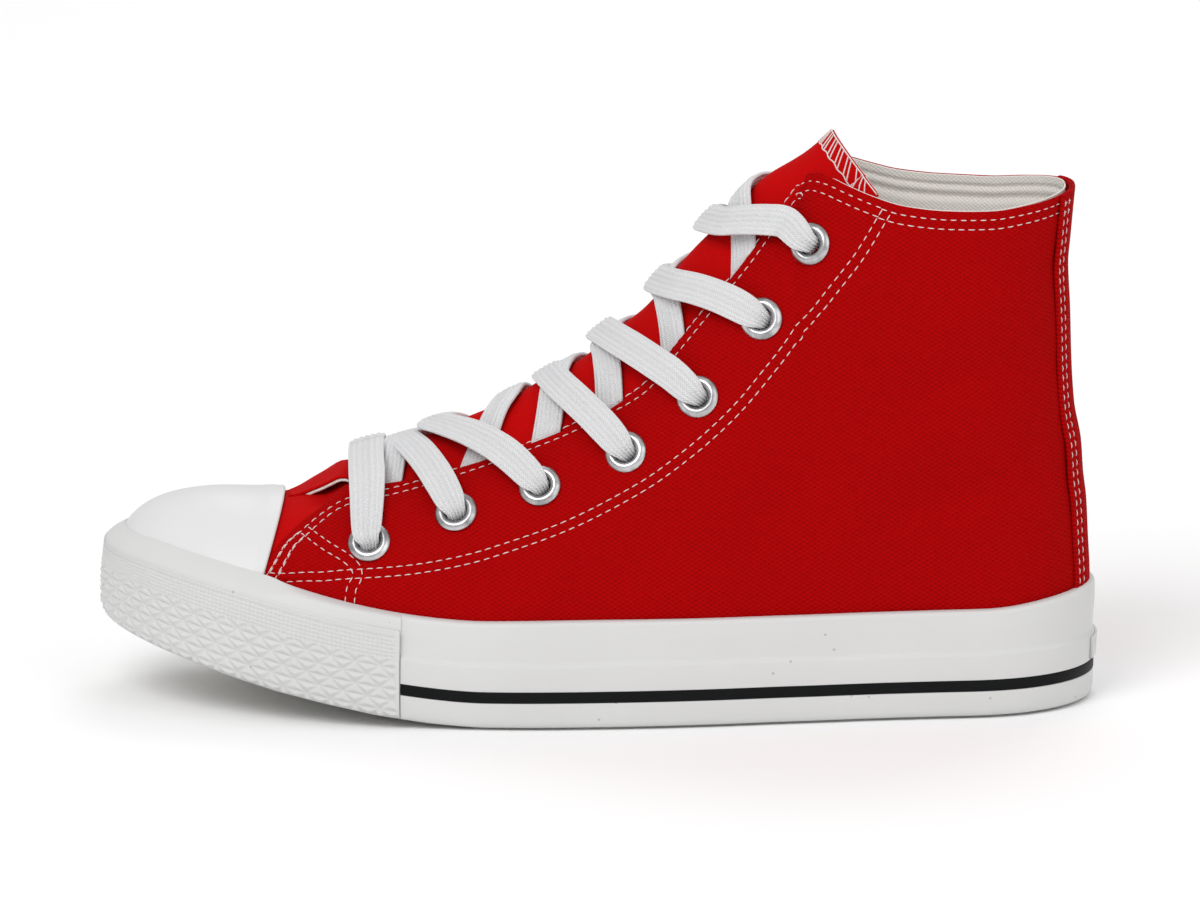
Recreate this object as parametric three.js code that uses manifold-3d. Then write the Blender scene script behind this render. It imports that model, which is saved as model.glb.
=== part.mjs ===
// Left high-top canvas sneaker with a vulcanised rubber sole and a rubber toe.
// Millimetres. +Z is up, the toe points to -X, and the outer side of the foot is -Y.
// The origin lies under the middle of the shoe, on the floor.
import * as THREE from "three";
import { mergeVertices } from "three/addons/utils/BufferGeometryUtils.js";
import Module from "manifold-3d";

const wasm = await Module();
wasm.setup();

// Overall sizes.
const SHOE_LENGTH = 275; // toe bumper to heel rubber
const SHOE_WIDTH = 97; // over the rubber at the ball of the foot
const TOE_BOX_RISE = 36.9; // feather line to vamp, where the toe cap ends
const COLLAR_FRONT_RISE = 140; // feather line to the top of the throat
const COLLAR_DIP_RISE = 129.9; // feather line to the lowest stretch of the collar
const COLLAR_BACK_RISE = 132.6; // feather line to the collar at the heel
const COLLAR_WIDTH = 54.5; // across the outer faces of the collar
const COLLAR_FROM = 0.7024; // share of the last's length where the collar opens
const HEEL_HOLLOW = 5.2; // how far the heel leans in above its bulge

// Sole.
const TOE_SPRING = 21; // lift of the sole at its tip
const SPRING_LENGTH = 105; // from the tip to where the sole touches down
const SPRING_CURVE = 1.6; // how sharply the toe curls up
const PLATFORM = 10; // sole underside to the feather line of the upper
const OUTSOLE_THICKNESS = 4.5;
const INSOLE_THICKNESS = 3.5;
const SIDEWALL_HEIGHT = 30.5; // rubber sidewall at the waist
const SIDEWALL_OUT = 3.6; // from the canvas to the sidewall's outer face
const SIDEWALL_CORNER = 2.6; // height of the rounded bottom corner
const SIDEWALL_CLEAR = 0.8; // the sidewall ends this much above the tread
const STEP_HEIGHT = 18.7; // sole underside to the top of the thick band
const STEP_DEPTH = 0.8;
const LIP_THICKNESS = 1.2; // top edge of the sidewall
const STRIPE_FROM = 7.9; // sole underside to the pinstripe
const STRIPE_HEIGHT = 3;
const STRIPE_THICKNESS = 0.9;
const STRIPE_PROUD = 0.1;
const TREAD_DEPTH = 1.4;
const TREAD_PITCH = 9.5;
const TREAD_GROOVE = 3;
const TREAD_RIM = 8; // plain border round the tread

// Toe, heel and overlays.
const BUMPER_REACH = 0.296; // share of the last's length that the toe bumper wraps
const BUMPER_HEIGHT = 26.5;
const BUMPER_THICKNESS = 1.2;
const BUMPER_PROUD = 0.9;
const CAP_THICKNESS = 1.3;
const BACKSTAY_THICKNESS = 0.9;
const BACKSTAY_WIDTH = 25;
const PATCH_WIDTH = 17;
const PATCH_THICKNESS = 0.7;

// Upper, throat, tongue, eyelets and laces.
const WALL = 1.6; // two plies of canvas
const THROAT_HALF = 21; // widest half gap between the lace flaps
const THROAT_FROM = 0.194; // share of the last's length where the throat begins
const FLAP_CORNER = 6; // radius at the top of each lace flap
const TONGUE_THICKNESS = 1.8;
const TONGUE_PROUD = 2; // the tongue bulges this much out of the throat
const TONGUE_HALF = 25;
const TONGUE_FROM = 0.1776; // share of the last's length where the tongue begins
const TONGUE_RISE = 12.5; // what stands above the throat
const TONGUE_LEAN = 3.2; // how far its top leans back from the line of the throat
const EYELET_OUTER = 11.8;
const EYELET_HOLE = 6;
const EYELET_METAL = 0.6;
const EYELET_PROUD = 0.9;
const EYELET_CLEAR = 0.5; // under the flat flange, on curved canvas
const LACE_WIDTH = 8;
const LACE_THICKNESS = 1.6;
const LACE_TUCK = 4; // a crossing starts this far inside the flap's edge
const LACE_SINK = 0.4; // and this far below the closed crown

// Clearances between separate pieces.
const GAP = 0.3;
const RUBBER_GAP = 0.5;
const LACE_GAP = 0.8;
const TONGUE_GAP = 1.1;

// Half sections of the last. at and all lengths are shares: at of the last's length,
// centre, half and ridge of the upper's width. shoulder is the section's exponent, and
// pinch is how far its middle draws in.
const SECTIONS = [
  { at: 0.0, centre: 0.081, half: 0.451, ridge: 0.075, shoulder: 2.6, pinch: 0 },
  { at: 0.1, centre: 0.062, half: 0.454, ridge: 0.058, shoulder: 2.6, pinch: 0 },
  { at: 0.2, centre: 0.033, half: 0.467, ridge: 0.043, shoulder: 2.35, pinch: 0 },
  { at: 0.3, centre: 0.005, half: 0.478, ridge: 0.03, shoulder: 2.15, pinch: 0 },
  { at: 0.4, centre: -0.0285, half: 0.47, ridge: 0.025, shoulder: 2.1, pinch: 0 },
  { at: 0.5, centre: -0.052, half: 0.44, ridge: 0.022, shoulder: 2.1, pinch: 0 },
  { at: 0.6, centre: -0.063, half: 0.399, ridge: 0.022, shoulder: 2.7, pinch: 0 },
  { at: 0.7, centre: -0.053, half: 0.361, ridge: 0.015, shoulder: 3.0, pinch: 0.02 },
  { at: 0.8, centre: -0.0285, half: 0.339, ridge: 0.009, shoulder: 2.6, pinch: 0.055 },
  { at: 0.9, centre: -0.006, half: 0.331, ridge: 0.004, shoulder: 2.2, pinch: 0.09 },
  { at: 1.0, centre: 0.0, half: 0.328, ridge: 0.0, shoulder: 2.2, pinch: 0.09 },
];
// Top line of the closed foot. toe is the share of the toe box's rise, and climb is the
// share of the further rise to the top of the throat.
const SPINE = [
  { at: 0.0, toe: 0.03, climb: 0 },
  { at: 0.0049, toe: 0.323, climb: 0 },
  { at: 0.012, toe: 0.424, climb: 0 },
  { at: 0.0271, toe: 0.567, climb: 0 },
  { at: 0.0553, toe: 0.722, climb: 0 },
  { at: 0.0929, toe: 0.844, climb: 0 },
  { at: 0.1682, toe: 1, climb: 0 },
  { at: 0.2058, toe: 1, climb: 0.0565 },
  { at: 0.2359, toe: 1, climb: 0.1144 },
  { at: 0.3149, toe: 1, climb: 0.2048 },
  { at: 0.3901, toe: 1, climb: 0.2997 },
  { at: 0.4752, toe: 1, climb: 0.4209 },
  { at: 0.5433, toe: 1, climb: 0.5577 },
  { at: 0.5933, toe: 1, climb: 0.7042 },
  { at: 0.6384, toe: 1, climb: 0.8351 },
  { at: 0.6723, toe: 1, climb: 0.9321 },
  { at: COLLAR_FROM, toe: 1, climb: 1 },
];
// Collar rim. along is the share of the collar's length, front and back are shares of the
// rise from the dip to the throat's top and to the heel.
const RIM = [
  { along: 0.0, front: 1, back: 0 },
  { along: 0.1, front: 0.861, back: 0 },
  { along: 0.19, front: 0.604, back: 0 },
  { along: 0.278, front: 0.366, back: 0 },
  { along: 0.38, front: 0.158, back: 0 },
  { along: 0.544, front: 0.03, back: 0 },
  { along: 0.708, front: 0, back: 0 },
  { along: 0.834, front: 0, back: 0.33 },
  { along: 1.0, front: 0, back: 1 },
];
// Profile of the heel. up is the share of the collar's height, out of the heel's hollow.
const HEEL = [
  { up: 0.0, out: 0 },
  { up: 0.07, out: 0 },
  { up: 0.231, out: 0.25 },
  { up: 0.32, out: 0.135 },
  { up: 0.386, out: 0.04 },
  { up: 0.439, out: -0.135 },
  { up: 0.498, out: -0.25 },
  { up: 0.575, out: -0.635 },
  { up: 0.656, out: -0.79 },
  { up: 0.764, out: -0.885 },
  { up: 0.853, out: -1 },
  { up: 0.905, out: -0.885 },
  { up: 0.954, out: -0.77 },
  { up: 1.0, out: -0.654 },
];
// Half gap between the lace flaps, as a share of its widest.
const THROAT = [
  { at: 0.2, gap: 0.42 },
  { at: 0.216, gap: 0.56 },
  { at: 0.24, gap: 0.7 },
  { at: 0.27, gap: 0.84 },
  { at: 0.33, gap: 0.87 },
  { at: 0.4, gap: 0.95 },
  { at: 0.5, gap: 1 },
  { at: 0.543, gap: 1 },
  { at: 0.58, gap: 0.92 },
  { at: 0.62, gap: 0.87 },
  { at: 0.655, gap: 0.78 },
  { at: 0.7, gap: 0.66 },
];
// Half width of the tongue as a share of its widest.
const TONGUE = [
  { at: TONGUE_FROM, half: 0.26 },
  { at: 0.2, half: 0.33 },
  { at: 0.24, half: 0.45 },
  { at: 0.27, half: 0.56 },
  { at: 0.34, half: 0.86 },
  { at: 0.42, half: 1 },
  { at: 0.52, half: 0.96 },
  { at: 0.6, half: 0.86 },
  { at: 0.66, half: 0.78 },
  { at: COLLAR_FROM, half: 0.72 },
];
// Eyelets, the same on both sides: at along the last, up from feather line to top line.
const EYELETS = [
  { at: 0.2623, up: 0.682 },
  { at: 0.3518, up: 0.742 },
  { at: 0.4382, up: 0.729 },
  { at: 0.5267, up: 0.705 },
  { at: 0.6006, up: 0.709 },
  { at: 0.6668, up: 0.762 },
  { at: 0.718, up: 0.864 },
];
// Where each crossing of the lace leaves its flap, as a share of the last's length.
const LACE_EXITS = [0.279, 0.372, 0.4455, 0.512, 0.5764, 0.6469];
// Sidewall: height as a share of its height at the waist, out as a share of its reach.
const SIDEWALL = [
  { at: 0.0, height: 0.803, out: 1.22 },
  { at: 0.05, height: 0.902, out: 1.28 },
  { at: 0.16, height: 0.965, out: 1.25 },
  { at: 0.3, height: 0.96, out: 1.08 },
  { at: 0.5, height: 0.98, out: 1.0 },
  { at: 0.9, height: 0.985, out: 1.0 },
  { at: 1.0, height: 1.075, out: 1.0 },
];

// Shape constants of the plan outline and of the falloffs, all as shares.
const TOE_ROUND = { from: 0.3, power: 2.2 };
const HEEL_ROUND = { from: 0.875, power: 2.1 };
const COLLAR_ROUND = 2.3;
const HEEL_WARP_FROM = 0.6;
const CAP_EDGE = { low: 0.137, high: 0.171, power: 1.5 };
const CAP_ROOM = { full: 0.155, none: 0.19 };
const WALL_TAPER = { inner: 0.82, outer: 0.88 }; // heights where the sidewall thins
const TREAD_FIELD = { from: 0.06, to: 0.94 }; // first and last groove
const TONGUE_DIVE = { from: 0.212, to: 0.252 };
const TONGUE_TURN = { from: 0.62, to: 0.755 };
const TONGUE_HOLD = 0.68; // behind this the tongue keeps its slope across
const EYELET_CROWN = 0.4; // from bore to rim, where the flange is highest
const LACE_OVERLAP = 0.95; // rise of one lace over another, of its thickness
const LACE_FALL = 1.5; // how late a lace comes down from the crown to its eyelet

// Values that follow from the sizes.
const TOE_X = -SHOE_LENGTH / 2;
const TOE_REACH = SIDEWALL[0].out * SIDEWALL_OUT + BUMPER_PROUD;
const LAST_X = TOE_X + TOE_REACH;
const HEEL_REACH = SIDEWALL_OUT + GAP + PATCH_THICKNESS;
const LAST_LENGTH = SHOE_LENGTH - TOE_REACH - HEEL_REACH;
const UPPER_WIDTH = SHOE_WIDTH - 2 * SIDEWALL_OUT;
const COLLAR_TOP = PLATFORM + COLLAR_BACK_RISE;
const CAP_STACK = GAP + CAP_THICKNESS;
const HOLE_DEPTH = 8 * WALL; // of the tools that punch the lace holes

// Steps of the meshes.
const STATIONS = 26; // sections from toe to heel
const RISES = 9; // steps from feather line to top line
const BACKSTAY_STEPS = 3;
const PATCH_STEPS = 6;
const TONGUE_STEPS = { along: 15, across: 8, past: 3 };
const HOLE_SIDES = 8;
const EYELET_SIDES = 9;
const LACE_STEPS = 7;
const STATION_ROOM = 0.004; // least distance between two stations
const STEP_ROOM = 5e-4; // from a step in the sidewall to the stations beside it
const THROAT_STATIONS = [0, 0.003, 0.012, 0.03]; // behind the throat's start
const CORNER_STATIONS = [-0.003, 0.001, 0.004, 0.011, 0.023]; // round each flap's top corner
const WELD = 1e-4; // points nearer than this are one
const BUMPER_ROOM = 0.003; // between the end of the bumper and that of the pinstripe
const NEARBY = 0.0015; // step of s that a direction is taken over

function clamp(value, low = 0, high = 1) {
  return Math.min(high, Math.max(low, value));
}

function mix(a, b, share) {
  return a + (b - a) * share;
}

function ease(from, to, value) {
  const share = clamp((value - from) / (to - from));
  return share * share * (3 - 2 * share);
}

// A smooth curve through hand-set points that never swings past them.
function curveThrough(xs, ys) {
  const last = xs.length - 1;
  const step = xs.slice(1).map((x, i) => x - xs[i]);
  const slope = step.map((h, i) => (ys[i + 1] - ys[i]) / h);
  const tangent = xs.map((_, i) => {
    if (i === 0) return slope[0];
    if (i === last) return slope[last - 1];
    if (slope[i - 1] * slope[i] <= 0) return 0;
    const before = 2 * step[i] + step[i - 1];
    const after = step[i] + 2 * step[i - 1];
    return (before + after) / (before / slope[i - 1] + after / slope[i]);
  });
  return (value) => {
    const x = clamp(value, xs[0], xs[last]);
    let i = 0;
    while (i < last - 1 && x > xs[i + 1]) i += 1;
    const q = (x - xs[i]) / step[i];
    const rise = (1 + 2 * q) * (1 - q) ** 2 * ys[i] + q * q * (3 - 2 * q) * ys[i + 1];
    const lean = q * (1 - q) ** 2 * tangent[i] + q * q * (q - 1) * tangent[i + 1];
    return rise + step[i] * lean;
  };
}

function column(rows, key, value) {
  return curveThrough(rows.map((row) => row[key]), rows.map(value));
}

// The value between low and high where test turns from true to false.
function turningPoint(low, high, test) {
  let inside = low;
  let outside = high;
  for (let i = 0; i < 40; i += 1) {
    const middle = (inside + outside) / 2;
    if (test(middle)) inside = middle;
    else outside = middle;
  }
  return (inside + outside) / 2;
}

// The last: every section of the upper between feather line and top line.
const centreAt = column(SECTIONS, "at", (row) => row.centre * UPPER_WIDTH);
const halfAt = column(SECTIONS, "at", (row) => row.half * UPPER_WIDTH);
const ridgeAt = column(SECTIONS, "at", (row) => row.ridge * UPPER_WIDTH);
const shoulderAt = column(SECTIONS, "at", (row) => row.shoulder);
const pinchAt = column(SECTIONS, "at", (row) => row.pinch);
const spineAt = column(
  SPINE,
  "at",
  (row) => TOE_BOX_RISE * row.toe + (COLLAR_FRONT_RISE - TOE_BOX_RISE) * row.climb,
);
const rimAt = column(
  RIM,
  "along",
  (row) =>
    COLLAR_DIP_RISE +
    (COLLAR_FRONT_RISE - COLLAR_DIP_RISE) * row.front +
    (COLLAR_BACK_RISE - COLLAR_DIP_RISE) * row.back,
);
const heelAt = column(HEEL, "up", (row) => row.out * HEEL_HOLLOW);
const throatAt = column(THROAT, "at", (row) => row.gap * THROAT_HALF);
const wallHeightAt = column(SIDEWALL, "at", (row) => row.height * SIDEWALL_HEIGHT);
const wallOutAt = column(SIDEWALL, "at", (row) => row.out * SIDEWALL_OUT);

// Height of the sole's underside.
function underside(s) {
  const forward = clamp(1 - (s * SHOE_LENGTH) / SPRING_LENGTH);
  return TOE_SPRING * forward ** SPRING_CURVE;
}

function featherLine(s) {
  return underside(s) + PLATFORM;
}

function collarShare(s) {
  return (s - COLLAR_FROM) / (1 - COLLAR_FROM);
}

function topRise(s) {
  return s < COLLAR_FROM ? spineAt(s) : rimAt(collarShare(s));
}

function collarHalf(s) {
  if (s <= COLLAR_FROM) return 0;
  const across = clamp(Math.abs(2 * collarShare(s) - 1));
  return (COLLAR_WIDTH / 2) * (1 - across ** COLLAR_ROUND) ** (1 / COLLAR_ROUND);
}

// How the plan outline closes at the toe and at the heel.
function planRound(s) {
  const toe = clamp(1 - s / TOE_ROUND.from);
  const heel = clamp((s - HEEL_ROUND.from) / (1 - HEEL_ROUND.from));
  const toeShare = (1 - toe ** TOE_ROUND.power) ** (1 / TOE_ROUND.power);
  const heelShare = (1 - heel ** HEEL_ROUND.power) ** (1 / HEEL_ROUND.power);
  return toeShare * heelShare;
}

function halfWidth(s, t) {
  const foot = halfAt(s) * planRound(s);
  const collar = collarHalf(s);
  const taper = (foot ** 2 - collar ** 2) * (1 - t ** shoulderAt(s));
  const drawn = 1 - pinchAt(s) * Math.sin(Math.PI * t);
  return Math.sqrt(Math.max(0, collar ** 2 + taper)) * drawn;
}

function middle(s, t) {
  return mix(centreAt(s), ridgeAt(s), t);
}

function heelWarp(s, z) {
  const share = clamp((s - HEEL_WARP_FROM) / (1 - HEEL_WARP_FROM));
  return heelAt(z / COLLAR_TOP) * share ** 2;
}

// A point of the canvas: s from toe to heel, t from feather line to top line,
// side -1 outside and 1 inside of the foot.
function surface(s, t, side) {
  const z = featherLine(s) + topRise(s) * t;
  const x = LAST_X + s * LAST_LENGTH + heelWarp(s, z);
  return new THREE.Vector3(x, middle(s, t) + side * halfWidth(s, t), z);
}

function isInside(x, y, z) {
  let s = (x - LAST_X) / LAST_LENGTH;
  for (let i = 0; i < 4; i += 1) s = (x - LAST_X - heelWarp(clamp(s), z)) / LAST_LENGTH;
  if (s <= 0 || s >= 1) return false;
  const t = Math.max(0, (z - featherLine(s)) / topRise(s));
  return t < 1 && Math.abs(y - middle(s, t)) < halfWidth(s, t);
}

// Top edge of the canvas: the crown before the throat, then the edge of the lace flap,
// which runs into the collar's rim with a rounded corner.
function edgeHalf(s) {
  const blunt = clamp((s - THROAT_FROM) / (THROAT[0].at - THROAT_FROM)) ** 0.5;
  return collarShare(s) > 0.5 ? collarHalf(s) : Math.max(throatAt(s) * blunt, collarHalf(s));
}

function flapRise(s) {
  if (collarHalf(s) >= edgeHalf(s)) return 1;
  return turningPoint(0, 1, (t) => halfWidth(s, t) > edgeHalf(s));
}

const CORNER_DROP = FLAP_CORNER / COLLAR_FRONT_RISE;
const CORNER_AT = turningPoint(COLLAR_FROM - 0.03, 1, (s) => flapRise(s) < 1 - CORNER_DROP);

function edgeRise(s) {
  if (s <= THROAT_FROM) return 1;
  const past = clamp(((s - CORNER_AT) * LAST_LENGTH) / FLAP_CORNER);
  return Math.min(flapRise(s), 1 - CORNER_DROP * (1 - Math.sqrt(1 - (1 - past) ** 2)));
}

// Meshes, solids and joins.
function meshOf(points, faces) {
  const geometry = new THREE.BufferGeometry();
  geometry.setAttribute("position", new THREE.Float32BufferAttribute(points.flat(), 3));
  geometry.setIndex(faces.flat());
  return geometry;
}

function solidOf(geometry) {
  const bare = geometry.clone();
  bare.deleteAttribute("normal");
  bare.deleteAttribute("uv");
  const merged = mergeVertices(bare, WELD);
  const index = merged.index.array;
  const faces = [];
  for (let i = 0; i < index.length; i += 3) {
    const [a, b, c] = [index[i], index[i + 1], index[i + 2]];
    if (a !== b && b !== c && c !== a) faces.push(a, b, c);
  }
  const vertProperties = new Float32Array(merged.attributes.position.array);
  const build = (triVerts) =>
    new wasm.Manifold(new wasm.Mesh({ numProp: 3, vertProperties, triVerts }));
  const made = build(new Uint32Array(faces));
  return made.volume() > 0 ? made : build(new Uint32Array(faces.reverse()));
}

function geometryOf(solid) {
  const { numProp, vertProperties, triVerts } = solid.getMesh();
  const points = [];
  for (let i = 0; i < vertProperties.length; i += numProp)
    points.push([vertProperties[i], vertProperties[i + 1], vertProperties[i + 2]]);
  return meshOf(points, Array.from(triVerts));
}

// A closed shell on a patch of the canvas, between two distances along its normals.
function thicken(patch, low, high) {
  const merged = mergeVertices(patch, WELD);
  const index = merged.index.array;
  const faces = [];
  for (let i = 0; i < index.length; i += 3) {
    const face = [index[i], index[i + 1], index[i + 2]];
    if (new Set(face).size === 3) faces.push(face);
  }
  merged.setIndex(faces.flat());
  merged.computeVertexNormals();
  const { position, normal } = merged.attributes;
  const count = position.count;
  const points = [];
  for (const distance of [high, low])
    for (let i = 0; i < count; i += 1)
      points.push([
        position.getX(i) + normal.getX(i) * distance,
        position.getY(i) + normal.getY(i) * distance,
        position.getZ(i) + normal.getZ(i) * distance,
      ]);
  const edges = new Map();
  for (const face of faces)
    face.forEach((a, i) => {
      const b = face[(i + 1) % 3];
      if (!edges.delete(b + " " + a)) edges.set(a + " " + b, [a, b]);
    });
  const walls = [...edges.values()].flatMap(([a, b]) => [
    [b, a, a + count],
    [b, a + count, b + count],
  ]);
  const inner = faces.map(([a, b, c]) => [a + count, c + count, b + count]);
  return meshOf(points, [...faces, ...inner, ...walls]);
}

// A grid of points as faces, turned over where flip is set.
function gridFaces(columns, rows, start, flip) {
  const faces = [];
  for (let i = 0; i < columns - 1; i += 1)
    for (let j = 0; j < rows - 1; j += 1) {
      const a = start + i * rows + j;
      const [b, c, d] = [a + rows, a + rows + 1, a + 1];
      faces.push(...(flip ? [[a, c, b], [a, d, c]] : [[a, b, c], [a, c, d]]));
    }
  return faces;
}

// A patch of the canvas over both sides. place gives s and t from two shares.
function canvasPatch(alongShares, upShares, place) {
  const points = [];
  const faces = [];
  for (const side of [-1, 1]) {
    faces.push(...gridFaces(alongShares.length, upShares.length, points.length, side > 0));
    for (const along of alongShares)
      for (const up of upShares) {
        const { s, t } = place(along, up);
        points.push(surface(s, t, side).toArray());
      }
  }
  return meshOf(points, faces);
}

function steps(count) {
  return Array.from({ length: count + 1 }, (_, i) => i / count);
}

const ALONG = steps(STATIONS).map((share) => (1 - Math.cos(Math.PI * share)) / 2);
const UP = steps(RISES).map((share) => Math.sin((Math.PI / 2) * share));

// Stations with some fixed ones in place of those that lie too close to them.
function stationsWith(extra) {
  const kept = ALONG.filter((s) => extra.every((e) => Math.abs(s - e) > STATION_ROOM));
  return [...kept, ...extra].sort((a, b) => a - b);
}

function shape(name, geometry, color, roughness, metalness = 0) {
  const material = new THREE.MeshStandardMaterial({ color, roughness, metalness });
  const made = new THREE.Mesh(geometry, material);
  made.name = name;
  return made;
}

// The canvas at an eyelet, with its outward direction.
function eyeletSeat(row, side) {
  const seat = surface(row.at, row.up, side);
  const ahead = surface(row.at + NEARBY, row.up, side).sub(seat);
  const above = surface(row.at, row.up + NEARBY, side).sub(seat);
  const out = new THREE.Vector3().crossVectors(ahead, above).multiplyScalar(-side);
  return { seat, out: out.normalize() };
}

const SEATS = [-1, 1].map((side) => EYELETS.map((row) => eyeletSeat(row, side)));

function standOn(geometry, { seat, out }) {
  const turn = new THREE.Quaternion().setFromUnitVectors(new THREE.Vector3(0, 1, 0), out);
  return geometry.applyQuaternion(turn).translate(seat.x, seat.y, seat.z);
}

// Upper: one hollow wall, open at collar, throat and underneath, with its lace holes.
function makeUpper() {
  const throat = THROAT_STATIONS.map((ahead) => THROAT_FROM + ahead);
  const corner = CORNER_STATIONS.map((behind) => CORNER_AT + behind);
  const along = stationsWith([...throat, ...corner]);
  const patch = canvasPatch(along, UP, (s, up) => ({ s, t: edgeRise(s) * up }));
  const hole = EYELET_HOLE / 2 + EYELET_METAL + RUBBER_GAP;
  const holes = SEATS.flat().map((seat) =>
    solidOf(standOn(new THREE.CylinderGeometry(hole, hole, HOLE_DEPTH, HOLE_SIDES), seat)),
  );
  const wall = solidOf(thicken(patch, -WALL, 0));
  return geometryOf(wall.subtract(wasm.Manifold.union(holes)));
}

// Toe cap: an overlay of the upper, cut off along a line that leans forward.
function makeToeCap() {
  const along = ALONG.filter((s) => s < CAP_EDGE.high).map((s) => s / CAP_EDGE.high);
  const patch = canvasPatch([...along, 1], UP, (share, t) => ({
    s: share * mix(CAP_EDGE.low, CAP_EDGE.high, t ** CAP_EDGE.power),
    t,
  }));
  return thicken(patch, GAP, CAP_STACK);
}

// Backstay: the strip over the heel seam, from the sidewall to the collar.
function makeBackstay() {
  const reach = 1 - turningPoint(1, HEEL_ROUND.from, (s) => halfWidth(s, 0.5) < BACKSTAY_WIDTH / 2);
  const low = (wallHeightAt(1) + GAP - PLATFORM) / COLLAR_BACK_RISE;
  const rises = [low, ...UP.filter((t) => t > low + STATION_ROOM)];
  const patch = canvasPatch(steps(BACKSTAY_STEPS), rises, (share, t) => ({
    s: 1 - reach * (1 - share) ** 2,
    t,
  }));
  return thicken(patch, GAP, GAP + BACKSTAY_THICKNESS);
}

// The plan outline of the feather line, once round from the toe by the outer side.
function outlineOf(stations) {
  const outer = stations.map((s) => ({ s, side: -1 }));
  const inner = stations.slice(1, -1).reverse().map((s) => ({ s, side: 1 }));
  return [...outer, ...inner].map(({ s, side }) => {
    const here = surface(s, 0, side);
    const before = surface(Math.max(0, s - NEARBY), 0, side);
    const after = surface(Math.min(1, s + NEARBY), 0, side);
    const out = new THREE.Vector3(after.y - before.y, before.x - after.x, 0);
    if (s < NEARBY) out.set(-1, 0, 0);
    else if (s > 1 - NEARBY) out.set(1, 0, 0);
    else out.multiplyScalar(-side).normalize();
    return { s, side, here, out };
  });
}

// How far the canvas lies out from the feather line at height z, and its lean there.
function skin(station, z) {
  const reach = (height) =>
    turningPoint(-UPPER_WIDTH / 2, 2 * SIDEWALL_OUT, (d) => {
      const { here, out } = station;
      return isInside(here.x + out.x * d, here.y + out.y * d, height);
    });
  if (z <= featherLine(station.s)) return { offset: 0, lean: 1 };
  const slope = (reach(z + RUBBER_GAP) - reach(z - RUBBER_GAP)) / (2 * RUBBER_GAP);
  return { offset: Math.max(-UPPER_WIDTH / 3, reach(z)), lean: Math.hypot(1, slope) };
}

// A ring or strip round the outline. profile gives points of height and distance from
// the canvas for a station; closed joins its last station to the first.
function wrap(stations, profile, closed) {
  const points = [];
  let size = 0;
  for (const station of stations) {
    const rows = profile(station);
    size = rows.length;
    for (const { height, out } of rows) {
      const z = underside(station.s) + height;
      const { offset, lean } = skin(station, z);
      const reach = offset + out * lean;
      const { here } = station;
      points.push([here.x + station.out.x * reach, here.y + station.out.y * reach, z]);
    }
  }
  const count = stations.length;
  const faces = [];
  for (let i = 0; i < (closed ? count : count - 1); i += 1)
    for (let j = 0; j < size; j += 1) {
      const next = ((i + 1) % count) * size;
      const a = i * size + j;
      const b = i * size + ((j + 1) % size);
      const c = next + ((j + 1) % size);
      faces.push([a, c, b], [a, next + j, c]);
    }
  if (!closed) {
    const contour = profile(stations[0]).map((row) => new THREE.Vector2(row.out, row.height));
    const lids = THREE.ShapeUtils.triangulateShape(contour, []);
    const turned = THREE.ShapeUtils.isClockWise(contour);
    const end = (count - 1) * size;
    for (const [a, b, c] of lids)
      faces.push(
        turned ? [a, c, b] : [a, b, c],
        turned ? [end + a, end + b, end + c] : [end + a, end + c, end + b],
      );
  }
  return geometryOf(solidOf(meshOf(points, faces)));
}

// Room that the toe cap needs between canvas and sidewall.
function capRoom(s) {
  return CAP_STACK * (1 - ease(CAP_ROOM.full, CAP_ROOM.none, s));
}

function innerFace(s) {
  return RUBBER_GAP + capRoom(s);
}

function underBumper(s) {
  return s < BUMPER_REACH;
}

function outerFace(s) {
  const recess = RUBBER_GAP + BUMPER_THICKNESS - BUMPER_PROUD;
  return wallOutAt(s) - (underBumper(s) ? recess : 0);
}

// Sidewall: a rubber band all round, with a step, a groove for the pinstripe and a lip.
function makeSidewall() {
  const ends = [CAP_EDGE.low, BUMPER_REACH - STEP_ROOM, BUMPER_REACH + STEP_ROOM];
  const stations = outlineOf(stationsWith(ends));
  const grooveDepth = STRIPE_THICKNESS - STRIPE_PROUD + GAP;
  return wrap(
    stations,
    ({ s }) => {
      const top = wallHeightAt(s);
      const inner = innerFace(s);
      const outer = outerFace(s);
      const plain = underBumper(s);
      const groove = outer - (plain ? 0 : grooveDepth);
      const upper = outer - (plain ? 0 : STEP_DEPTH);
      return [
        { height: SIDEWALL_CLEAR, out: inner },
        { height: SIDEWALL_CLEAR, out: outer - SIDEWALL_CORNER / 2 },
        { height: SIDEWALL_CLEAR + SIDEWALL_CORNER, out: outer },
        { height: STRIPE_FROM - GAP, out: outer },
        { height: STRIPE_FROM - GAP, out: groove },
        { height: STRIPE_FROM + STRIPE_HEIGHT + GAP, out: groove },
        { height: STRIPE_FROM + STRIPE_HEIGHT + GAP, out: outer },
        { height: STEP_HEIGHT - STEP_DEPTH, out: outer },
        { height: STEP_HEIGHT, out: upper },
        { height: top * WALL_TAPER.outer, out: upper },
        { height: top, out: inner + LIP_THICKNESS },
        { height: top, out: inner },
        { height: top * WALL_TAPER.inner, out: inner },
        { height: mix(PLATFORM, top, 0.5), out: inner },
        { height: PLATFORM, out: inner },
      ];
    },
    true,
  );
}

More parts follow.
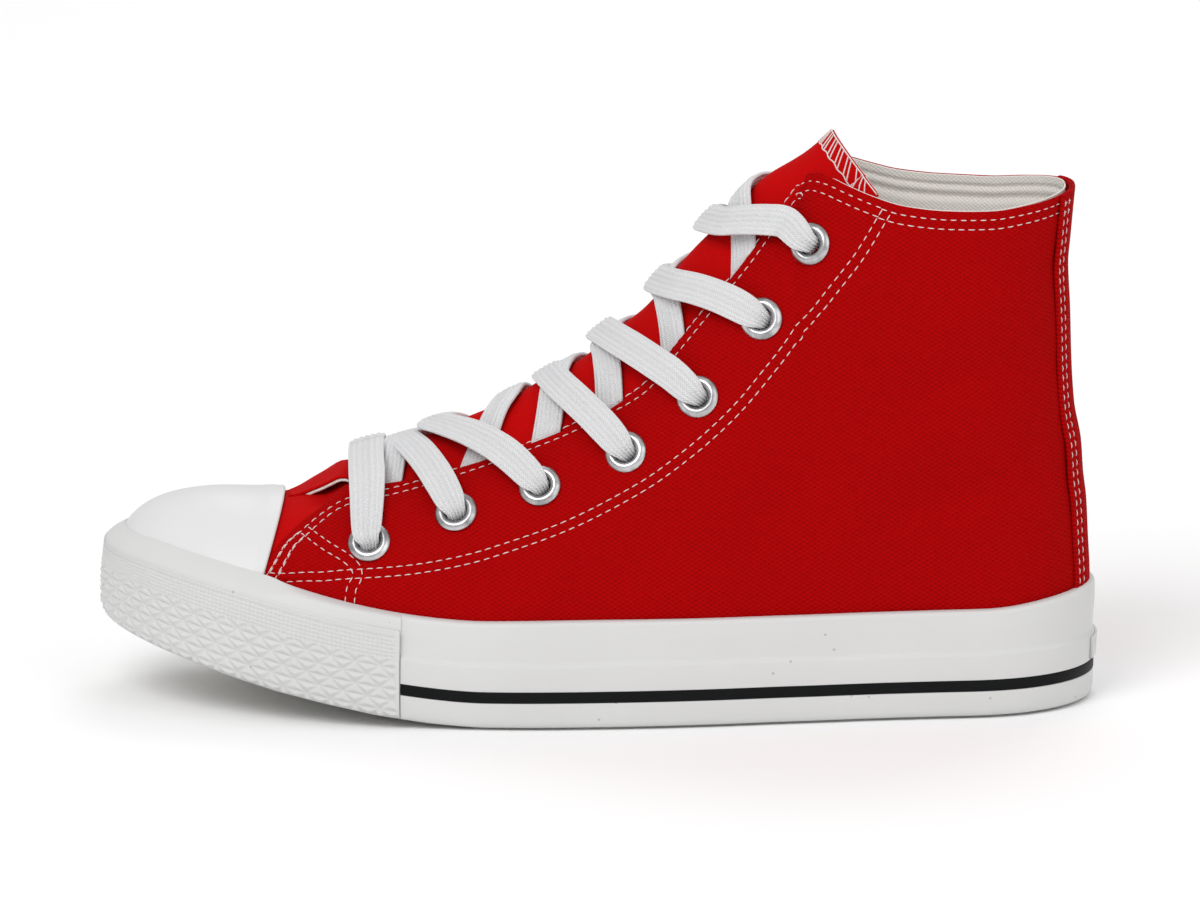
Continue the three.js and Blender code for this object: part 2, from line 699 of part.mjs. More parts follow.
// Pinstripe: a thin strip in the groove, from the bumper round the heel and back.
function makePinstripe() {
  const from = BUMPER_REACH + BUMPER_ROOM;
  const all = outlineOf(stationsWith([from]));
  return wrap(
    all.filter(({ s }) => s >= from),
    ({ s }) => {
      const face = wallOutAt(s) + STRIPE_PROUD;
      return [
        { height: STRIPE_FROM, out: face - STRIPE_THICKNESS },
        { height: STRIPE_FROM, out: face },
        { height: STRIPE_FROM + STRIPE_HEIGHT, out: face },
        { height: STRIPE_FROM + STRIPE_HEIGHT, out: face - STRIPE_THICKNESS },
      ];
    },
    false,
  );
}

// Toe bumper: a thicker band round the toe, with its own ends.
function makeBumper() {
  const end = BUMPER_REACH - BUMPER_ROOM;
  const all = outlineOf(stationsWith([end])).filter(({ s }) => s <= end);
  const half = all.findIndex(({ side }) => side > 0);
  const bevel = BUMPER_THICKNESS / 2;
  return wrap(
    [...all.slice(half), ...all.slice(0, half)],
    ({ s }) => {
      const top = (BUMPER_HEIGHT * wallHeightAt(s)) / SIDEWALL_HEIGHT;
      const outer = wallOutAt(s) + BUMPER_PROUD;
      const inner = outer - BUMPER_THICKNESS;
      return [
        { height: SIDEWALL_CLEAR + bevel, out: inner },
        { height: SIDEWALL_CLEAR + bevel, out: outer - bevel },
        { height: SIDEWALL_CLEAR + SIDEWALL_CORNER, out: outer },
        { height: PLATFORM, out: outer },
        { height: STEP_HEIGHT, out: outer },
        { height: top - bevel, out: outer },
        { height: top, out: outer - bevel },
        { height: top, out: inner },
        { height: STEP_HEIGHT, out: inner },
        { height: PLATFORM, out: inner },
      ];
    },
    false,
  );
}

// Heel patch: a plain rubber tab on the thick band behind the heel.
function makeHeelPatch() {
  const reach = 1 - turningPoint(1, HEEL_ROUND.from, (s) => halfWidth(s, 0) < PATCH_WIDTH / 2);
  const rows = steps(PATCH_STEPS).map((share) => 1 - reach * (1 - share) ** 2);
  const all = outlineOf([0, ...rows]).filter(({ s }) => s > 0);
  const low = STRIPE_FROM + STRIPE_HEIGHT + 2 * GAP;
  const high = STEP_HEIGHT - STEP_DEPTH - GAP;
  return wrap(
    all,
    ({ s }) => {
      const face = wallOutAt(s) + GAP;
      return [
        { height: low, out: face },
        { height: low, out: face + PATCH_THICKNESS },
        { height: high, out: face + PATCH_THICKNESS },
        { height: high, out: face },
      ];
    },
    false,
  );
}

// A slab across the shoe, whose edge lies out from the feather line by reach(s).
function slab(stations, low, high, reach) {
  const rim = (s, side, height) => {
    const { here, out } = outlineOf([0, s, 1]).find((row) => row.s === s && row.side === side);
    return [here.x + out.x * reach(s), here.y + out.y * reach(s), underside(s) + height];
  };
  const points = [];
  for (const s of stations) {
    const ends = s === 0 || s === 1;
    for (const height of [low, high])
      for (const side of [-1, 1]) points.push(rim(s, ends ? -1 : side, height));
  }
  const faces = [];
  for (let i = 0; i < stations.length - 1; i += 1) {
    const [a, b, c, d] = [0, 1, 2, 3].map((k) => 4 * i + k);
    const [e, f, g, h] = [4, 5, 6, 7].map((k) => 4 * i + k);
    faces.push([a, b, f], [a, f, e], [c, g, h], [c, h, d]);
    faces.push([a, e, g], [a, g, c], [b, d, h], [b, h, f]);
  }
  return solidOf(meshOf(points, faces));
}

// Outsole: the tread, cut by crosswise grooves inside a plain border.
function makeOutsole() {
  const sole = slab(ALONG, 0, OUTSOLE_THICKNESS, capRoom);
  const field = slab(ALONG, -2 * TREAD_DEPTH, TREAD_DEPTH, () => -TREAD_RIM);
  const count = Math.floor((SHOE_LENGTH - 4 * TREAD_RIM) / TREAD_PITCH);
  const grooves = steps(count).map((share) => {
    const s = mix(TREAD_FIELD.from, TREAD_FIELD.to, share);
    const groove = new THREE.BoxGeometry(TREAD_GROOVE, 2 * SHOE_WIDTH, SHOE_WIDTH);
    return solidOf(groove.translate(LAST_X + s * LAST_LENGTH, 0, 0));
  });
  return geometryOf(sole.subtract(field.intersect(wasm.Manifold.union(grooves))));
}

function makeMidsole() {
  const low = OUTSOLE_THICKNESS + GAP;
  return geometryOf(slab(ALONG, low, PLATFORM - GAP, capRoom));
}

function makeInsole() {
  const inset = () => -(WALL + 2 * GAP);
  const high = PLATFORM + INSOLE_THICKNESS;
  return geometryOf(slab(ALONG, PLATFORM, high, inset));
}

// The tongue's ridge: over the throat it stands proud of the canvas's top line, and it
// runs straight on above the collar. rise is the length past the throat's top.
function ridge(s, rise) {
  const top = (share) =>
    new THREE.Vector3(LAST_X + share * LAST_LENGTH, 0, featherLine(share) + spineAt(share));
  const along = top(s).sub(top(s - NEARBY)).normalize();
  const out = new THREE.Vector3(-along.z, 0, along.x);
  const here = top(s).addScaledVector(along, rise).addScaledVector(out, TONGUE_PROUD);
  return { here, out };
}

// How deep below the ridge the canvas lies at a place across the shoe.
function depthBelow(s, y) {
  const { here, out } = ridge(s, 0);
  return turningPoint(-2 * TONGUE_PROUD, COLLAR_WIDTH, (d) => {
    return !isInside(here.x - out.x * d, y, here.z - out.z * d);
  });
}

// What a distance square to the canvas measures along the ridge's outward direction.
function slant(s, y) {
  const slope = (depthBelow(s, y + GAP) - depthBelow(s, y - GAP)) / (2 * GAP);
  return Math.hypot(1, slope);
}

const tongueHalfAt = column(TONGUE, "at", (row) => row.half * TONGUE_HALF);

// Place across the tongue, v from -1 outside to 1 inside. The foot's ridge lies off the
// middle of its section, so the tongue reaches further on the side with more room.
function tongueAcross(s, held, v) {
  const lean = (ridgeAt(held) - centreAt(held)) / halfAt(held);
  return ridgeAt(held) + v * tongueHalfAt(s) * (1 - Math.sign(v) * lean);
}

// Tongue: it lies on the vamp at its front, dives through the throat, runs under the
// flaps with a raised middle, and stands above the collar.
function makeTongue() {
  const across = steps(TONGUE_STEPS.across).map((share) => 2 * share - 1);
  const rows = steps(TONGUE_STEPS.along).map((share) => {
    return { s: mix(TONGUE_FROM, COLLAR_FROM, share), rise: 0 };
  });
  const past = steps(TONGUE_STEPS.past).slice(1).map((share) => {
    return { s: COLLAR_FROM, rise: share * TONGUE_RISE };
  });
  const points = [];
  for (const { s, rise } of [...rows, ...past]) {
    const { here, out } = ridge(s, rise);
    const held = Math.min(s, TONGUE_HOLD);
    const above = 1 - ease(TONGUE_DIVE.from, TONGUE_DIVE.to, s);
    const back = TONGUE_LEAN * ease(TONGUE_TURN.from, TONGUE_TURN.to, s + rise / LAST_LENGTH);
    for (const v of across) {
      const y = tongueAcross(s, held, v);
      const open = clamp(Math.abs(y - ridgeAt(held)) / (edgeHalf(held) || 1));
      const raised = Math.cos((Math.PI / 2) * open) ** 2;
      const sunk = (WALL + TONGUE_GAP) * slant(held, y);
      const under = mix(sunk, back - TONGUE_PROUD, mix(raised, 1, above));
      const lift = above * (TONGUE_THICKNESS + RUBBER_GAP - TONGUE_PROUD);
      const depth = depthBelow(held, y) + under - lift;
      points.push([here.x - out.x * depth, y, here.z - out.z * depth]);
    }
  }
  const patch = meshOf(points, gridFaces(points.length / across.length, across.length, 0, false));
  return thicken(patch, -TONGUE_THICKNESS, 0);
}

// Eyelet: a metal ring through the canvas with a domed flange outside.
function makeEyelet(seat) {
  const bore = EYELET_HOLE / 2;
  const barrel = bore + EYELET_METAL;
  const inside = -WALL - GAP;
  const top = EYELET_CLEAR + EYELET_PROUD;
  const profile = [
    [bore, inside],
    [barrel, inside],
    [barrel, EYELET_CLEAR],
    [EYELET_OUTER / 2, EYELET_CLEAR],
    [EYELET_OUTER / 2 - EYELET_METAL, top - EYELET_METAL / 2],
    [mix(bore, EYELET_OUTER / 2, EYELET_CROWN), top],
    [bore, top - EYELET_METAL],
    [bore, inside],
  ].map(([x, y]) => new THREE.Vector2(x, y));
  const ring = new THREE.LatheGeometry(profile, EYELET_SIDES);
  return geometryOf(solidOf(standOn(ring, seat)));
}

// Height of the canvas's top over a plan point, the throat taken as closed.
function crownHeight(x, y) {
  const high = COLLAR_TOP + COLLAR_WIDTH;
  return turningPoint(PLATFORM + TOE_SPRING, high, (z) => isInside(x, y, z));
}

function crownNormal(x, y) {
  const slopeX = (crownHeight(x + GAP, y) - crownHeight(x - GAP, y)) / (2 * GAP);
  const slopeY = (crownHeight(x, y + GAP) - crownHeight(x, y - GAP)) / (2 * GAP);
  return new THREE.Vector3(-slopeX, -slopeY, 1).normalize();
}

// A flat lace along points that each have an outward direction.
function ribbon(path) {
  const half = LACE_WIDTH / 2;
  const thick = LACE_THICKNESS / 2;
  const section = [
    [-half, 0],
    [-half + thick, thick],
    [half - thick, thick],
    [half, 0],
    [half - thick, -thick],
    [-half + thick, -thick],
  ];
  const points = [];
  path.forEach(({ at, out }, i) => {
    const before = path[Math.max(0, i - 1)].at;
    const after = path[Math.min(path.length - 1, i + 1)].at;
    const along = new THREE.Vector3().subVectors(after, before).normalize();
    const wide = new THREE.Vector3().crossVectors(along, out).normalize();
    const up = new THREE.Vector3().crossVectors(wide, along);
    for (const [across, rise] of section)
      points.push(at.clone().addScaledVector(wide, across).addScaledVector(up, rise).toArray());
  });
  const size = section.length;
  const faces = [];
  for (let i = 0; i < path.length - 1; i += 1)
    for (let j = 0; j < size; j += 1) {
      const k = (j + 1) % size;
      const a = i * size;
      faces.push([a + j, a + k, a + size + k], [a + j, a + size + k, a + size + j]);
    }
  const end = points.length - size;
  for (let j = 1; j < size - 1; j += 1)
    faces.push([0, j + 1, j], [end, end + j, end + j + 1]);
  return solidOf(meshOf(points, faces));
}

// Lace levels above the closed crown, measured to the middle of the lace.
const LACE_ON_EYELET = EYELET_CLEAR + EYELET_PROUD + LACE_GAP + LACE_THICKNESS / 2;
const LACE_ON_TONGUE = TONGUE_PROUD + LACE_GAP + LACE_THICKNESS / 2;
const LACE_ON_LACE = LACE_ON_TONGUE + LACE_OVERLAP * LACE_THICKNESS;

// One pass of the lace in plan from one place to another. Its level goes from first
// at its start over middle at the crown to last at its end.
function lacePass(from, to, first, middleLevel, last) {
  const path = steps(LACE_STEPS).map((share) => {
    const x = mix(from.x, to.x, share);
    const y = mix(from.y, to.y, share);
    const out = crownNormal(x, y);
    const toCrown = y < 0 === from.y < 0 ? Math.abs(y / from.y) : Math.abs(y / to.y);
    const end = y < 0 === from.y < 0 ? first : last;
    const level = mix(middleLevel, end, clamp(toCrown) ** LACE_FALL);
    return { at: new THREE.Vector3(x, y, crownHeight(x, y)).addScaledVector(out, level), out };
  });
  return ribbon(path);
}

// Where crossing k comes up from under the flap of one side.
function flapEdge(k, side) {
  const s = LACE_EXITS[k];
  return { x: LAST_X + s * LAST_LENGTH, y: ridgeAt(s) + side * (edgeHalf(s) - LACE_TUCK) };
}

function makeLaceBar() {
  const [near, far] = SEATS.map((row) => row[0].seat);
  return geometryOf(lacePass(near, far, LACE_ON_EYELET, LACE_ON_LACE, LACE_ON_EYELET));
}

// A crossing: each pass comes up inside one flap and ends over the next eyelet opposite.
function makeLaceCross(k) {
  const [near, far] = SEATS.map((row) => row[k + 1].seat);
  const lower = lacePass(flapEdge(k, -1), far, -LACE_SINK, LACE_ON_TONGUE, LACE_ON_EYELET);
  const upper = lacePass(flapEdge(k, 1), near, -LACE_SINK, LACE_ON_LACE, LACE_ON_EYELET);
  return geometryOf(lower.add(upper));
}

const CANVAS = 0xb4080c;
const RUBBER = 0xeeeeea;
const BLACK_RUBBER = 0x111111;
const LINING = 0xe8e4da;
const SILVER = 0xc8c8cc;
const LACE = 0xf2f2f0;

const shoe = new THREE.Group();
shoe.add(
  shape("outsole", makeOutsole(), RUBBER, 0.7),
  shape("midsole", makeMidsole(), RUBBER, 0.8),
  shape("foxing", makeSidewall(), RUBBER, 0.55),
  shape("pinstripe", makePinstripe(), BLACK_RUBBER, 0.5),
  shape("toe_bumper", makeBumper(), RUBBER, 0.6),
  shape("heel_patch", makeHeelPatch(), RUBBER, 0.6),
  shape("toe_cap", makeToeCap(), RUBBER, 0.45),
  shape("upper", makeUpper(), CANVAS, 0.9),
  shape("backstay", makeBackstay(), CANVAS, 0.9),
  shape("insole", makeInsole(), LINING, 0.95),
  shape("tongue", makeTongue(), CANVAS, 0.9),
  shape("lace_bar", makeLaceBar(), LACE, 0.9),
);
["lateral", "medial"].forEach((side, row) =>
  SEATS[row].forEach((seat, k) =>
    shoe.add(shape(`eyelet_${side}_${k + 1}`, makeEyelet(seat), SILVER, 0.25, 1)),
  ),
);
for (let k = 0; k < EYELETS.length - 1; k += 1)
  shoe.add(shape(`lace_cross_${k + 1}`, makeLaceCross(k), LACE, 0.9));

// The origin goes under the middle of the shoe.
const extent = new THREE.Box3().setFromObject(shoe);
const centre = extent.getCenter(new THREE.Vector3());
shoe.position.set(-centre.x, -centre.y, -extent.min.z);

export default shoe;
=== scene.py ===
import math

import bpy
import numpy as np
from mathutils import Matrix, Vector

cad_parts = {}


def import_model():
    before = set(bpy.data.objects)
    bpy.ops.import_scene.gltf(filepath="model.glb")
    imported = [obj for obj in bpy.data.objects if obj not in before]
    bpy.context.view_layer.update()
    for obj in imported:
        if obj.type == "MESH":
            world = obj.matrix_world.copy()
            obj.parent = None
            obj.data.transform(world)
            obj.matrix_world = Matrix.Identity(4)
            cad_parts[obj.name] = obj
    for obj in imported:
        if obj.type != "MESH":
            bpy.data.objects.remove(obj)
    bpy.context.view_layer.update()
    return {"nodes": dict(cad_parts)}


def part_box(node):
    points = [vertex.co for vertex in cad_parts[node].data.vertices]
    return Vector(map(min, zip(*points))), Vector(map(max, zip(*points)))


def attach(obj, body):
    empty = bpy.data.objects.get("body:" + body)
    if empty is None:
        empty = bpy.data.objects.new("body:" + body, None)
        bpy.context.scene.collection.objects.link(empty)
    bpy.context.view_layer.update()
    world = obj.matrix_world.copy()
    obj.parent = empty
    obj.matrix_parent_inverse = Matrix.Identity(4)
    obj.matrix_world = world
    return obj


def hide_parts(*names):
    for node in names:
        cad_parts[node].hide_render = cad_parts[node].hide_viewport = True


# Left high-top canvas sneaker. Lengths are in millimetres until a mesh is made.
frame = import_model()
MM = 0.001
# Points nearer than this are one, and the steps that round a sheet's edge.
WELD_REACH = 0.001
EDGE_STEPS = 4

# Sizes of the shoe. They follow the solids, apart from the front of the tongue.
SHOE_LENGTH = 275.0
SHOE_WIDTH = 97.0
TOE_BOX_RISE = 36.9
COLLAR_FRONT_RISE = 140.0
COLLAR_DIP_RISE = 129.9
COLLAR_BACK_RISE = 132.6
COLLAR_WIDTH = 54.5
COLLAR_FROM = 0.7024
HEEL_HOLLOW = 5.2
TOE_SPRING = 21.0
SPRING_LENGTH = 105.0
SPRING_CURVE = 1.6
PLATFORM = 10.0
INSOLE_THICKNESS = 3.5
SIDEWALL_HEIGHT = 30.5
SIDEWALL_OUT = 3.6
SIDEWALL_CORNER = 3.2
SIDEWALL_CLEAR = 0.8
STEP_HEIGHT = 18.7
STEP_DEPTH = 0.8
LIP_THICKNESS = 1.2
STRIPE_FROM = 7.9
STRIPE_HEIGHT = 3.0
STRIPE_THICKNESS = 0.9
STRIPE_PROUD = 0.1
BUMPER_REACH = 0.296
BUMPER_HEIGHT = 26.5
BUMPER_THICKNESS = 1.2
BUMPER_PROUD = 0.9
BUMPER_ROOM = 0.0006
CAP_THICKNESS = 1.3
BACKSTAY_THICKNESS = 0.9
BACKSTAY_WIDTH = 25.0
PATCH_WIDTH = 17.0
PATCH_THICKNESS = 0.7
WALL = 1.6
THROAT_HALF = 21.0
THROAT_FROM = 0.194
FLAP_CORNER = 6.0
TONGUE_THICKNESS = 1.8
TONGUE_PROUD = 2.0
TONGUE_HALF = 25.0
TONGUE_FROM = 0.1776
TONGUE_RISE = 12.5
TONGUE_LEAN = 3.2
TONGUE_SAG = 1.8
TONGUE_TIP_SAG = 2.1
TONGUE_TIP = 0.03
TONGUE_FLAT = 0.92
TONGUE_CRUMPLE = 0.35
TONGUE_FAR_DROP = 0.3
EYELET_OUTER = 11.8
EYELET_HOLE = 6.0
EYELET_METAL = 0.6
LACE_WIDTH = 9.0
LACE_THICKNESS = 1.9
RIBS = 6
GAP = 0.3
RUBBER_GAP = 0.5
TONGUE_GAP = 1.1


def table(columns, *rows):
    return dict(zip(columns.split(), np.array(rows, float).T))


# Half sections of the last, as shares of its length and of the upper's width.
SECTIONS = table(
    "at centre half ridge shoulder pinch",
    (0.0, 0.081, 0.451, 0.075, 2.6, 0.0),
    (0.1, 0.062, 0.454, 0.058, 2.6, 0.0),
    (0.2, 0.033, 0.467, 0.043, 2.35, 0.0),
    (0.3, 0.005, 0.478, 0.03, 2.15, 0.0),
    (0.4, -0.0285, 0.47, 0.025, 2.1, 0.0),
    (0.5, -0.052, 0.44, 0.022, 2.1, 0.0),
    (0.6, -0.063, 0.399, 0.022, 2.7, 0.0),
    (0.7, -0.053, 0.361, 0.015, 3.0, 0.02),
    (0.8, -0.0285, 0.339, 0.009, 2.6, 0.055),
    (0.9, -0.006, 0.331, 0.004, 2.2, 0.09),
    (1.0, 0.0, 0.328, 0.0, 2.2, 0.09),
)
# Top line of the closed foot: shares of the toe box's rise and of the climb above it.
SPINE = table(
    "at toe climb",
    (0.0, 0.03, 0),
    (0.0049, 0.323, 0),
    (0.012, 0.424, 0),
    (0.0271, 0.567, 0),
    (0.0553, 0.722, 0),
    (0.0929, 0.844, 0),
    (0.1682, 1, 0),
    (0.2058, 1, 0.0565),
    (0.2359, 1, 0.1144),
    (0.3149, 1, 0.2048),
    (0.3901, 1, 0.2997),
    (0.4752, 1, 0.4209),
    (0.5433, 1, 0.5577),
    (0.5933, 1, 0.7042),
    (0.6384, 1, 0.8351),
    (0.6723, 1, 0.9321),
    (COLLAR_FROM, 1, 1),
)
# Collar rim: shares of the rise from its dip to the throat's top and to the heel.
RIM = table(
    "along front back",
    (0.0, 1, 0),
    (0.1, 0.861, 0),
    (0.19, 0.604, 0),
    (0.278, 0.366, 0),
    (0.38, 0.158, 0),
    (0.544, 0.03, 0),
    (0.708, 0, 0),
    (0.834, 0, 0.33),
    (1.0, 0, 1),
)
# Profile of the heel: shares of the collar's height and of the heel's hollow.
HEEL = table(
    "up out",
    (0.0, 0),
    (0.07, 0),
    (0.231, 0.25),
    (0.32, 0.135),
    (0.386, 0.04),
    (0.439, -0.135),
    (0.498, -0.25),
    (0.575, -0.635),
    (0.656, -0.79),
    (0.764, -0.885),
    (0.853, -1),
    (0.905, -0.885),
    (0.954, -0.77),
    (1.0, -0.654),
)
# Half gap between the lace flaps, as a share of its widest.
THROAT = table(
    "at gap",
    (0.2, 0.42),
    (0.216, 0.56),
    (0.24, 0.7),
    (0.27, 0.84),
    (0.33, 0.87),
    (0.4, 0.95),
    (0.5, 1),
    (0.543, 1),
    (0.58, 0.92),
    (0.62, 0.87),
    (0.655, 0.78),
    (0.7, 0.66),
)
# Half width of the tongue as a share of its widest.
TONGUE = table(
    "at half",
    (TONGUE_FROM, 0.14),
    (0.2, 0.27),
    (0.24, 0.42),
    (0.27, 0.56),
    (0.34, 0.86),
    (0.42, 1),
    (0.52, 0.96),
    (0.6, 0.86),
    (0.66, 0.78),
    (COLLAR_FROM, 0.72),
)
# Eyelets, the same on both sides.
EYELETS = table(
    "at up",
    (0.2623, 0.682),
    (0.3518, 0.742),
    (0.4382, 0.729),
    (0.5267, 0.705),
    (0.6006, 0.709),
    (0.6668, 0.762),
    (0.718, 0.864),
)
# Sidewall: height as a share of its height at the waist, out as a share of its reach.
SIDEWALL = table(
    "at height out",
    (0.0, 0.803, 1.22),
    (0.05, 0.902, 1.28),
    (0.16, 0.965, 1.25),
    (0.3, 0.96, 1.08),
    (0.5, 0.98, 1.0),
    (0.9, 0.985, 1.0),
    (1.0, 1.075, 1.0),
)
# Where the plan closes toward toe and heel, each with the power of its curve.
TOE_ROUND = (0.3, 2.2)
HEEL_ROUND = (0.875, 2.1)
COLLAR_ROUND = 2.3
COLLAR_SPREAD = 0.09
HEEL_WARP_FROM = 0.6
# Rear edge of the toe cap at the feather line and on the ridge.
CAP_EDGE = (0.137, 0.171)
CAP_ROOM = (0.155, 0.19)
# Where the tongue dives under the flaps, leans back, and stops following the ridge.
TONGUE_DIVE = (0.226, 0.258)
TONGUE_TURN = (0.62, 0.755)
TONGUE_HOLD = 0.68

TOE_X = -SHOE_LENGTH / 2
TOE_REACH = SIDEWALL["out"][0] * SIDEWALL_OUT + BUMPER_PROUD
LAST_X = TOE_X + TOE_REACH
LAST_LENGTH = SHOE_LENGTH - TOE_REACH - (SIDEWALL_OUT + GAP + PATCH_THICKNESS)
UPPER_WIDTH = SHOE_WIDTH - 2 * SIDEWALL_OUT
COLLAR_TOP = PLATFORM + COLLAR_BACK_RISE
CAP_STACK = GAP + CAP_THICKNESS
LATERAL, MEDIAL = -1, 1
SIDES = {"lateral": LATERAL, "medial": MEDIAL}


# Numbers and curves.
def mix(a, b, share):
    return a + (b - a) * share


def ease(start, end, value):
    share = np.clip((value - start) / (end - start), 0, 1)
    return share * share * (3 - 2 * share)


def unit(vectors):
    return vectors / np.maximum(np.linalg.norm(vectors, axis=-1, keepdims=True), 1e-12)


def curve_through(xs, ys):
    """A smooth curve through given points that never swings past them."""
    xs, ys = np.asarray(xs, float), np.asarray(ys, float)
    step = np.diff(xs)
    slope = np.diff(ys) / step
    tangent = np.concatenate([slope[:1], np.zeros(len(xs) - 2), slope[-1:]])
    for i in range(1, len(xs) - 1):
        if slope[i - 1] * slope[i] > 0:
            before, after = 2 * step[i] + step[i - 1], step[i] + 2 * step[i - 1]
            tangent[i] = (before + after) / (before / slope[i - 1] + after / slope[i])

    def value(x):
        x = np.clip(x, xs[0], xs[-1])
        i = np.clip(np.searchsorted(xs, x) - 1, 0, len(xs) - 2)
        q = (x - xs[i]) / step[i]
        rise = (1 + 2 * q) * (1 - q) ** 2 * ys[i] + q * q * (3 - 2 * q) * ys[i + 1]
        lean = q * (1 - q) ** 2 * tangent[i] + q * q * (q - 1) * tangent[i + 1]
        return rise + step[i] * lean

    return value


def turning_point(low, high, test, shape, rounds=26):
    """Between low and high, where test turns from true to false."""
    inside = np.full(shape, float(low))
    outside = np.full(shape, float(high))
    for _ in range(rounds):
        middle_value = (inside + outside) / 2
        held = test(middle_value)
        inside = np.where(held, middle_value, inside)
        outside = np.where(held, outside, middle_value)
    return (inside + outside) / 2


# The last: every section of the upper between feather line and top line.
centre_at = curve_through(SECTIONS["at"], SECTIONS["centre"] * UPPER_WIDTH)
half_at = curve_through(SECTIONS["at"], SECTIONS["half"] * UPPER_WIDTH)
ridge_at = curve_through(SECTIONS["at"], SECTIONS["ridge"] * UPPER_WIDTH)
shoulder_at = curve_through(SECTIONS["at"], SECTIONS["shoulder"])
pinch_at = curve_through(SECTIONS["at"], SECTIONS["pinch"])
spine_at = curve_through(
    SPINE["at"],
    TOE_BOX_RISE * SPINE["toe"] + (COLLAR_FRONT_RISE - TOE_BOX_RISE) * SPINE["climb"],
)
rim_at = curve_through(
    RIM["along"],
    COLLAR_DIP_RISE
    + (COLLAR_FRONT_RISE - COLLAR_DIP_RISE) * RIM["front"]
    + (COLLAR_BACK_RISE - COLLAR_DIP_RISE) * RIM["back"],
)
heel_at = curve_through(HEEL["up"], HEEL["out"] * HEEL_HOLLOW)
throat_at = curve_through(THROAT["at"], THROAT["gap"] * THROAT_HALF)
tongue_half_at = curve_through(TONGUE["at"], TONGUE["half"] * TONGUE_HALF)
wall_height_at = curve_through(SIDEWALL["at"], SIDEWALL["height"] * SIDEWALL_HEIGHT)
wall_out_at = curve_through(SIDEWALL["at"], SIDEWALL["out"] * SIDEWALL_OUT)


def underside(s):
    forward = np.clip(1 - s * SHOE_LENGTH / SPRING_LENGTH, 0, 1)
    return TOE_SPRING * forward**SPRING_CURVE


def feather_line(s):
    return underside(s) + PLATFORM


def collar_share(s):
    return (s - COLLAR_FROM) / (1 - COLLAR_FROM)


def top_rise(s):
    return np.where(s < COLLAR_FROM, spine_at(s), rim_at(collar_share(s)))


def collar_half(s):
    across = np.clip(np.abs(2 * collar_share(s) - 1), 0, 1)
    return COLLAR_WIDTH / 2 * (1 - across**COLLAR_ROUND) ** (1 / COLLAR_ROUND)


def plan_round(s):
    toe = np.clip(1 - s / TOE_ROUND[0], 0, 1)
    heel = np.clip((s - HEEL_ROUND[0]) / (1 - HEEL_ROUND[0]), 0, 1)
    toe_share = (1 - toe ** TOE_ROUND[1]) ** (1 / TOE_ROUND[1])
    return toe_share * (1 - heel ** HEEL_ROUND[1]) ** (1 / HEEL_ROUND[1])


def half_width(s, t):
    up = np.clip(t, 0, 1)
    opening = ease(COLLAR_FROM, COLLAR_FROM + COLLAR_SPREAD * (1 - up) + 1e-6, s)
    foot, collar = half_at(s) * plan_round(s), collar_half(s) * np.sqrt(opening)
    taper = (foot**2 - collar**2) * (1 - up ** shoulder_at(s))
    drawn = 1 - pinch_at(s) * np.sin(np.pi * up)
    return np.sqrt(np.maximum(0, collar**2 + taper)) * drawn


def middle(s, t):
    return mix(centre_at(s), ridge_at(s), t)


def heel_warp(s, z):
    share = np.clip((s - HEEL_WARP_FROM) / (1 - HEEL_WARP_FROM), 0, 1)
    return heel_at(z / COLLAR_TOP) * share**2


def surface(s, t, side):
    """Points of the canvas: s from toe to heel, t from feather line to top line."""
    s, t, side = np.broadcast_arrays(*(np.asarray(v, float) for v in (s, t, side)))
    z = feather_line(s) + top_rise(s) * t
    x = LAST_X + s * LAST_LENGTH + heel_warp(s, z)
    return np.stack([x, middle(s, t) + side * half_width(s, t), z], -1)


def slopes(s, t, side, nearby=1e-4):
    s, t, side = np.broadcast_arrays(*(np.asarray(v, float) for v in (s, t, side)))
    s = np.clip(s, 0, 1)
    before, after = np.clip(s - nearby, 0, 1), np.clip(s + nearby, 0, 1)
    below, above = np.clip(t - nearby, 0, 1), np.clip(t + nearby, 0, 1)
    along = surface(after, t, side) - surface(before, t, side)
    rising = surface(s, above, side) - surface(s, below, side)
    return along / (after - before)[..., None], rising / (above - below)[..., None]


def outward(s, t, side):
    along, rising = slopes(s, t, side)
    side = np.broadcast_to(np.asarray(side, float), along.shape[:-1])
    return unit(np.cross(along, rising) * -side[..., None])


def is_inside(x, y, z):
    s = (x - LAST_X) / LAST_LENGTH
    for _ in range(4):
        s = (x - LAST_X - heel_warp(np.clip(s, 0, 1), z)) / LAST_LENGTH
    held = np.clip(s, 0, 1)
    t = np.maximum(0, (z - feather_line(held)) / top_rise(held))
    room = half_width(held, t) - np.abs(y - middle(held, t))
    return (s > 0) & (s < 1) & (t < 1) & (room > 0)


def crown_height(x, y):
    x, y = np.broadcast_arrays(np.asarray(x, float), np.asarray(y, float))
    low, high = PLATFORM + TOE_SPRING, COLLAR_TOP + 60
    return turning_point(low, high, lambda z: is_inside(x, y, z), x.shape, 34)


def crown_normal(x, y, nearby=0.8):
    slope_x = (crown_height(x + nearby, y) - crown_height(x - nearby, y)) / (2 * nearby)
    slope_y = (crown_height(x, y + nearby) - crown_height(x, y - nearby)) / (2 * nearby)
    return unit(np.stack([-slope_x, -slope_y, np.ones_like(slope_x)], -1))


def edge_half(s):
    share = np.clip((s - THROAT_FROM) / (THROAT["at"][0] - THROAT_FROM), 0, 1)
    open_half = np.maximum(throat_at(s) * np.sqrt(share), collar_half(s))
    return np.where(collar_share(s) > 0.5, collar_half(s), open_half)


def flap_rise(s):
    cut = turning_point(0.3, 1, lambda t: half_width(s, t) > edge_half(s), np.shape(s))
    return np.where(collar_half(s) >= edge_half(s), 1.0, cut)


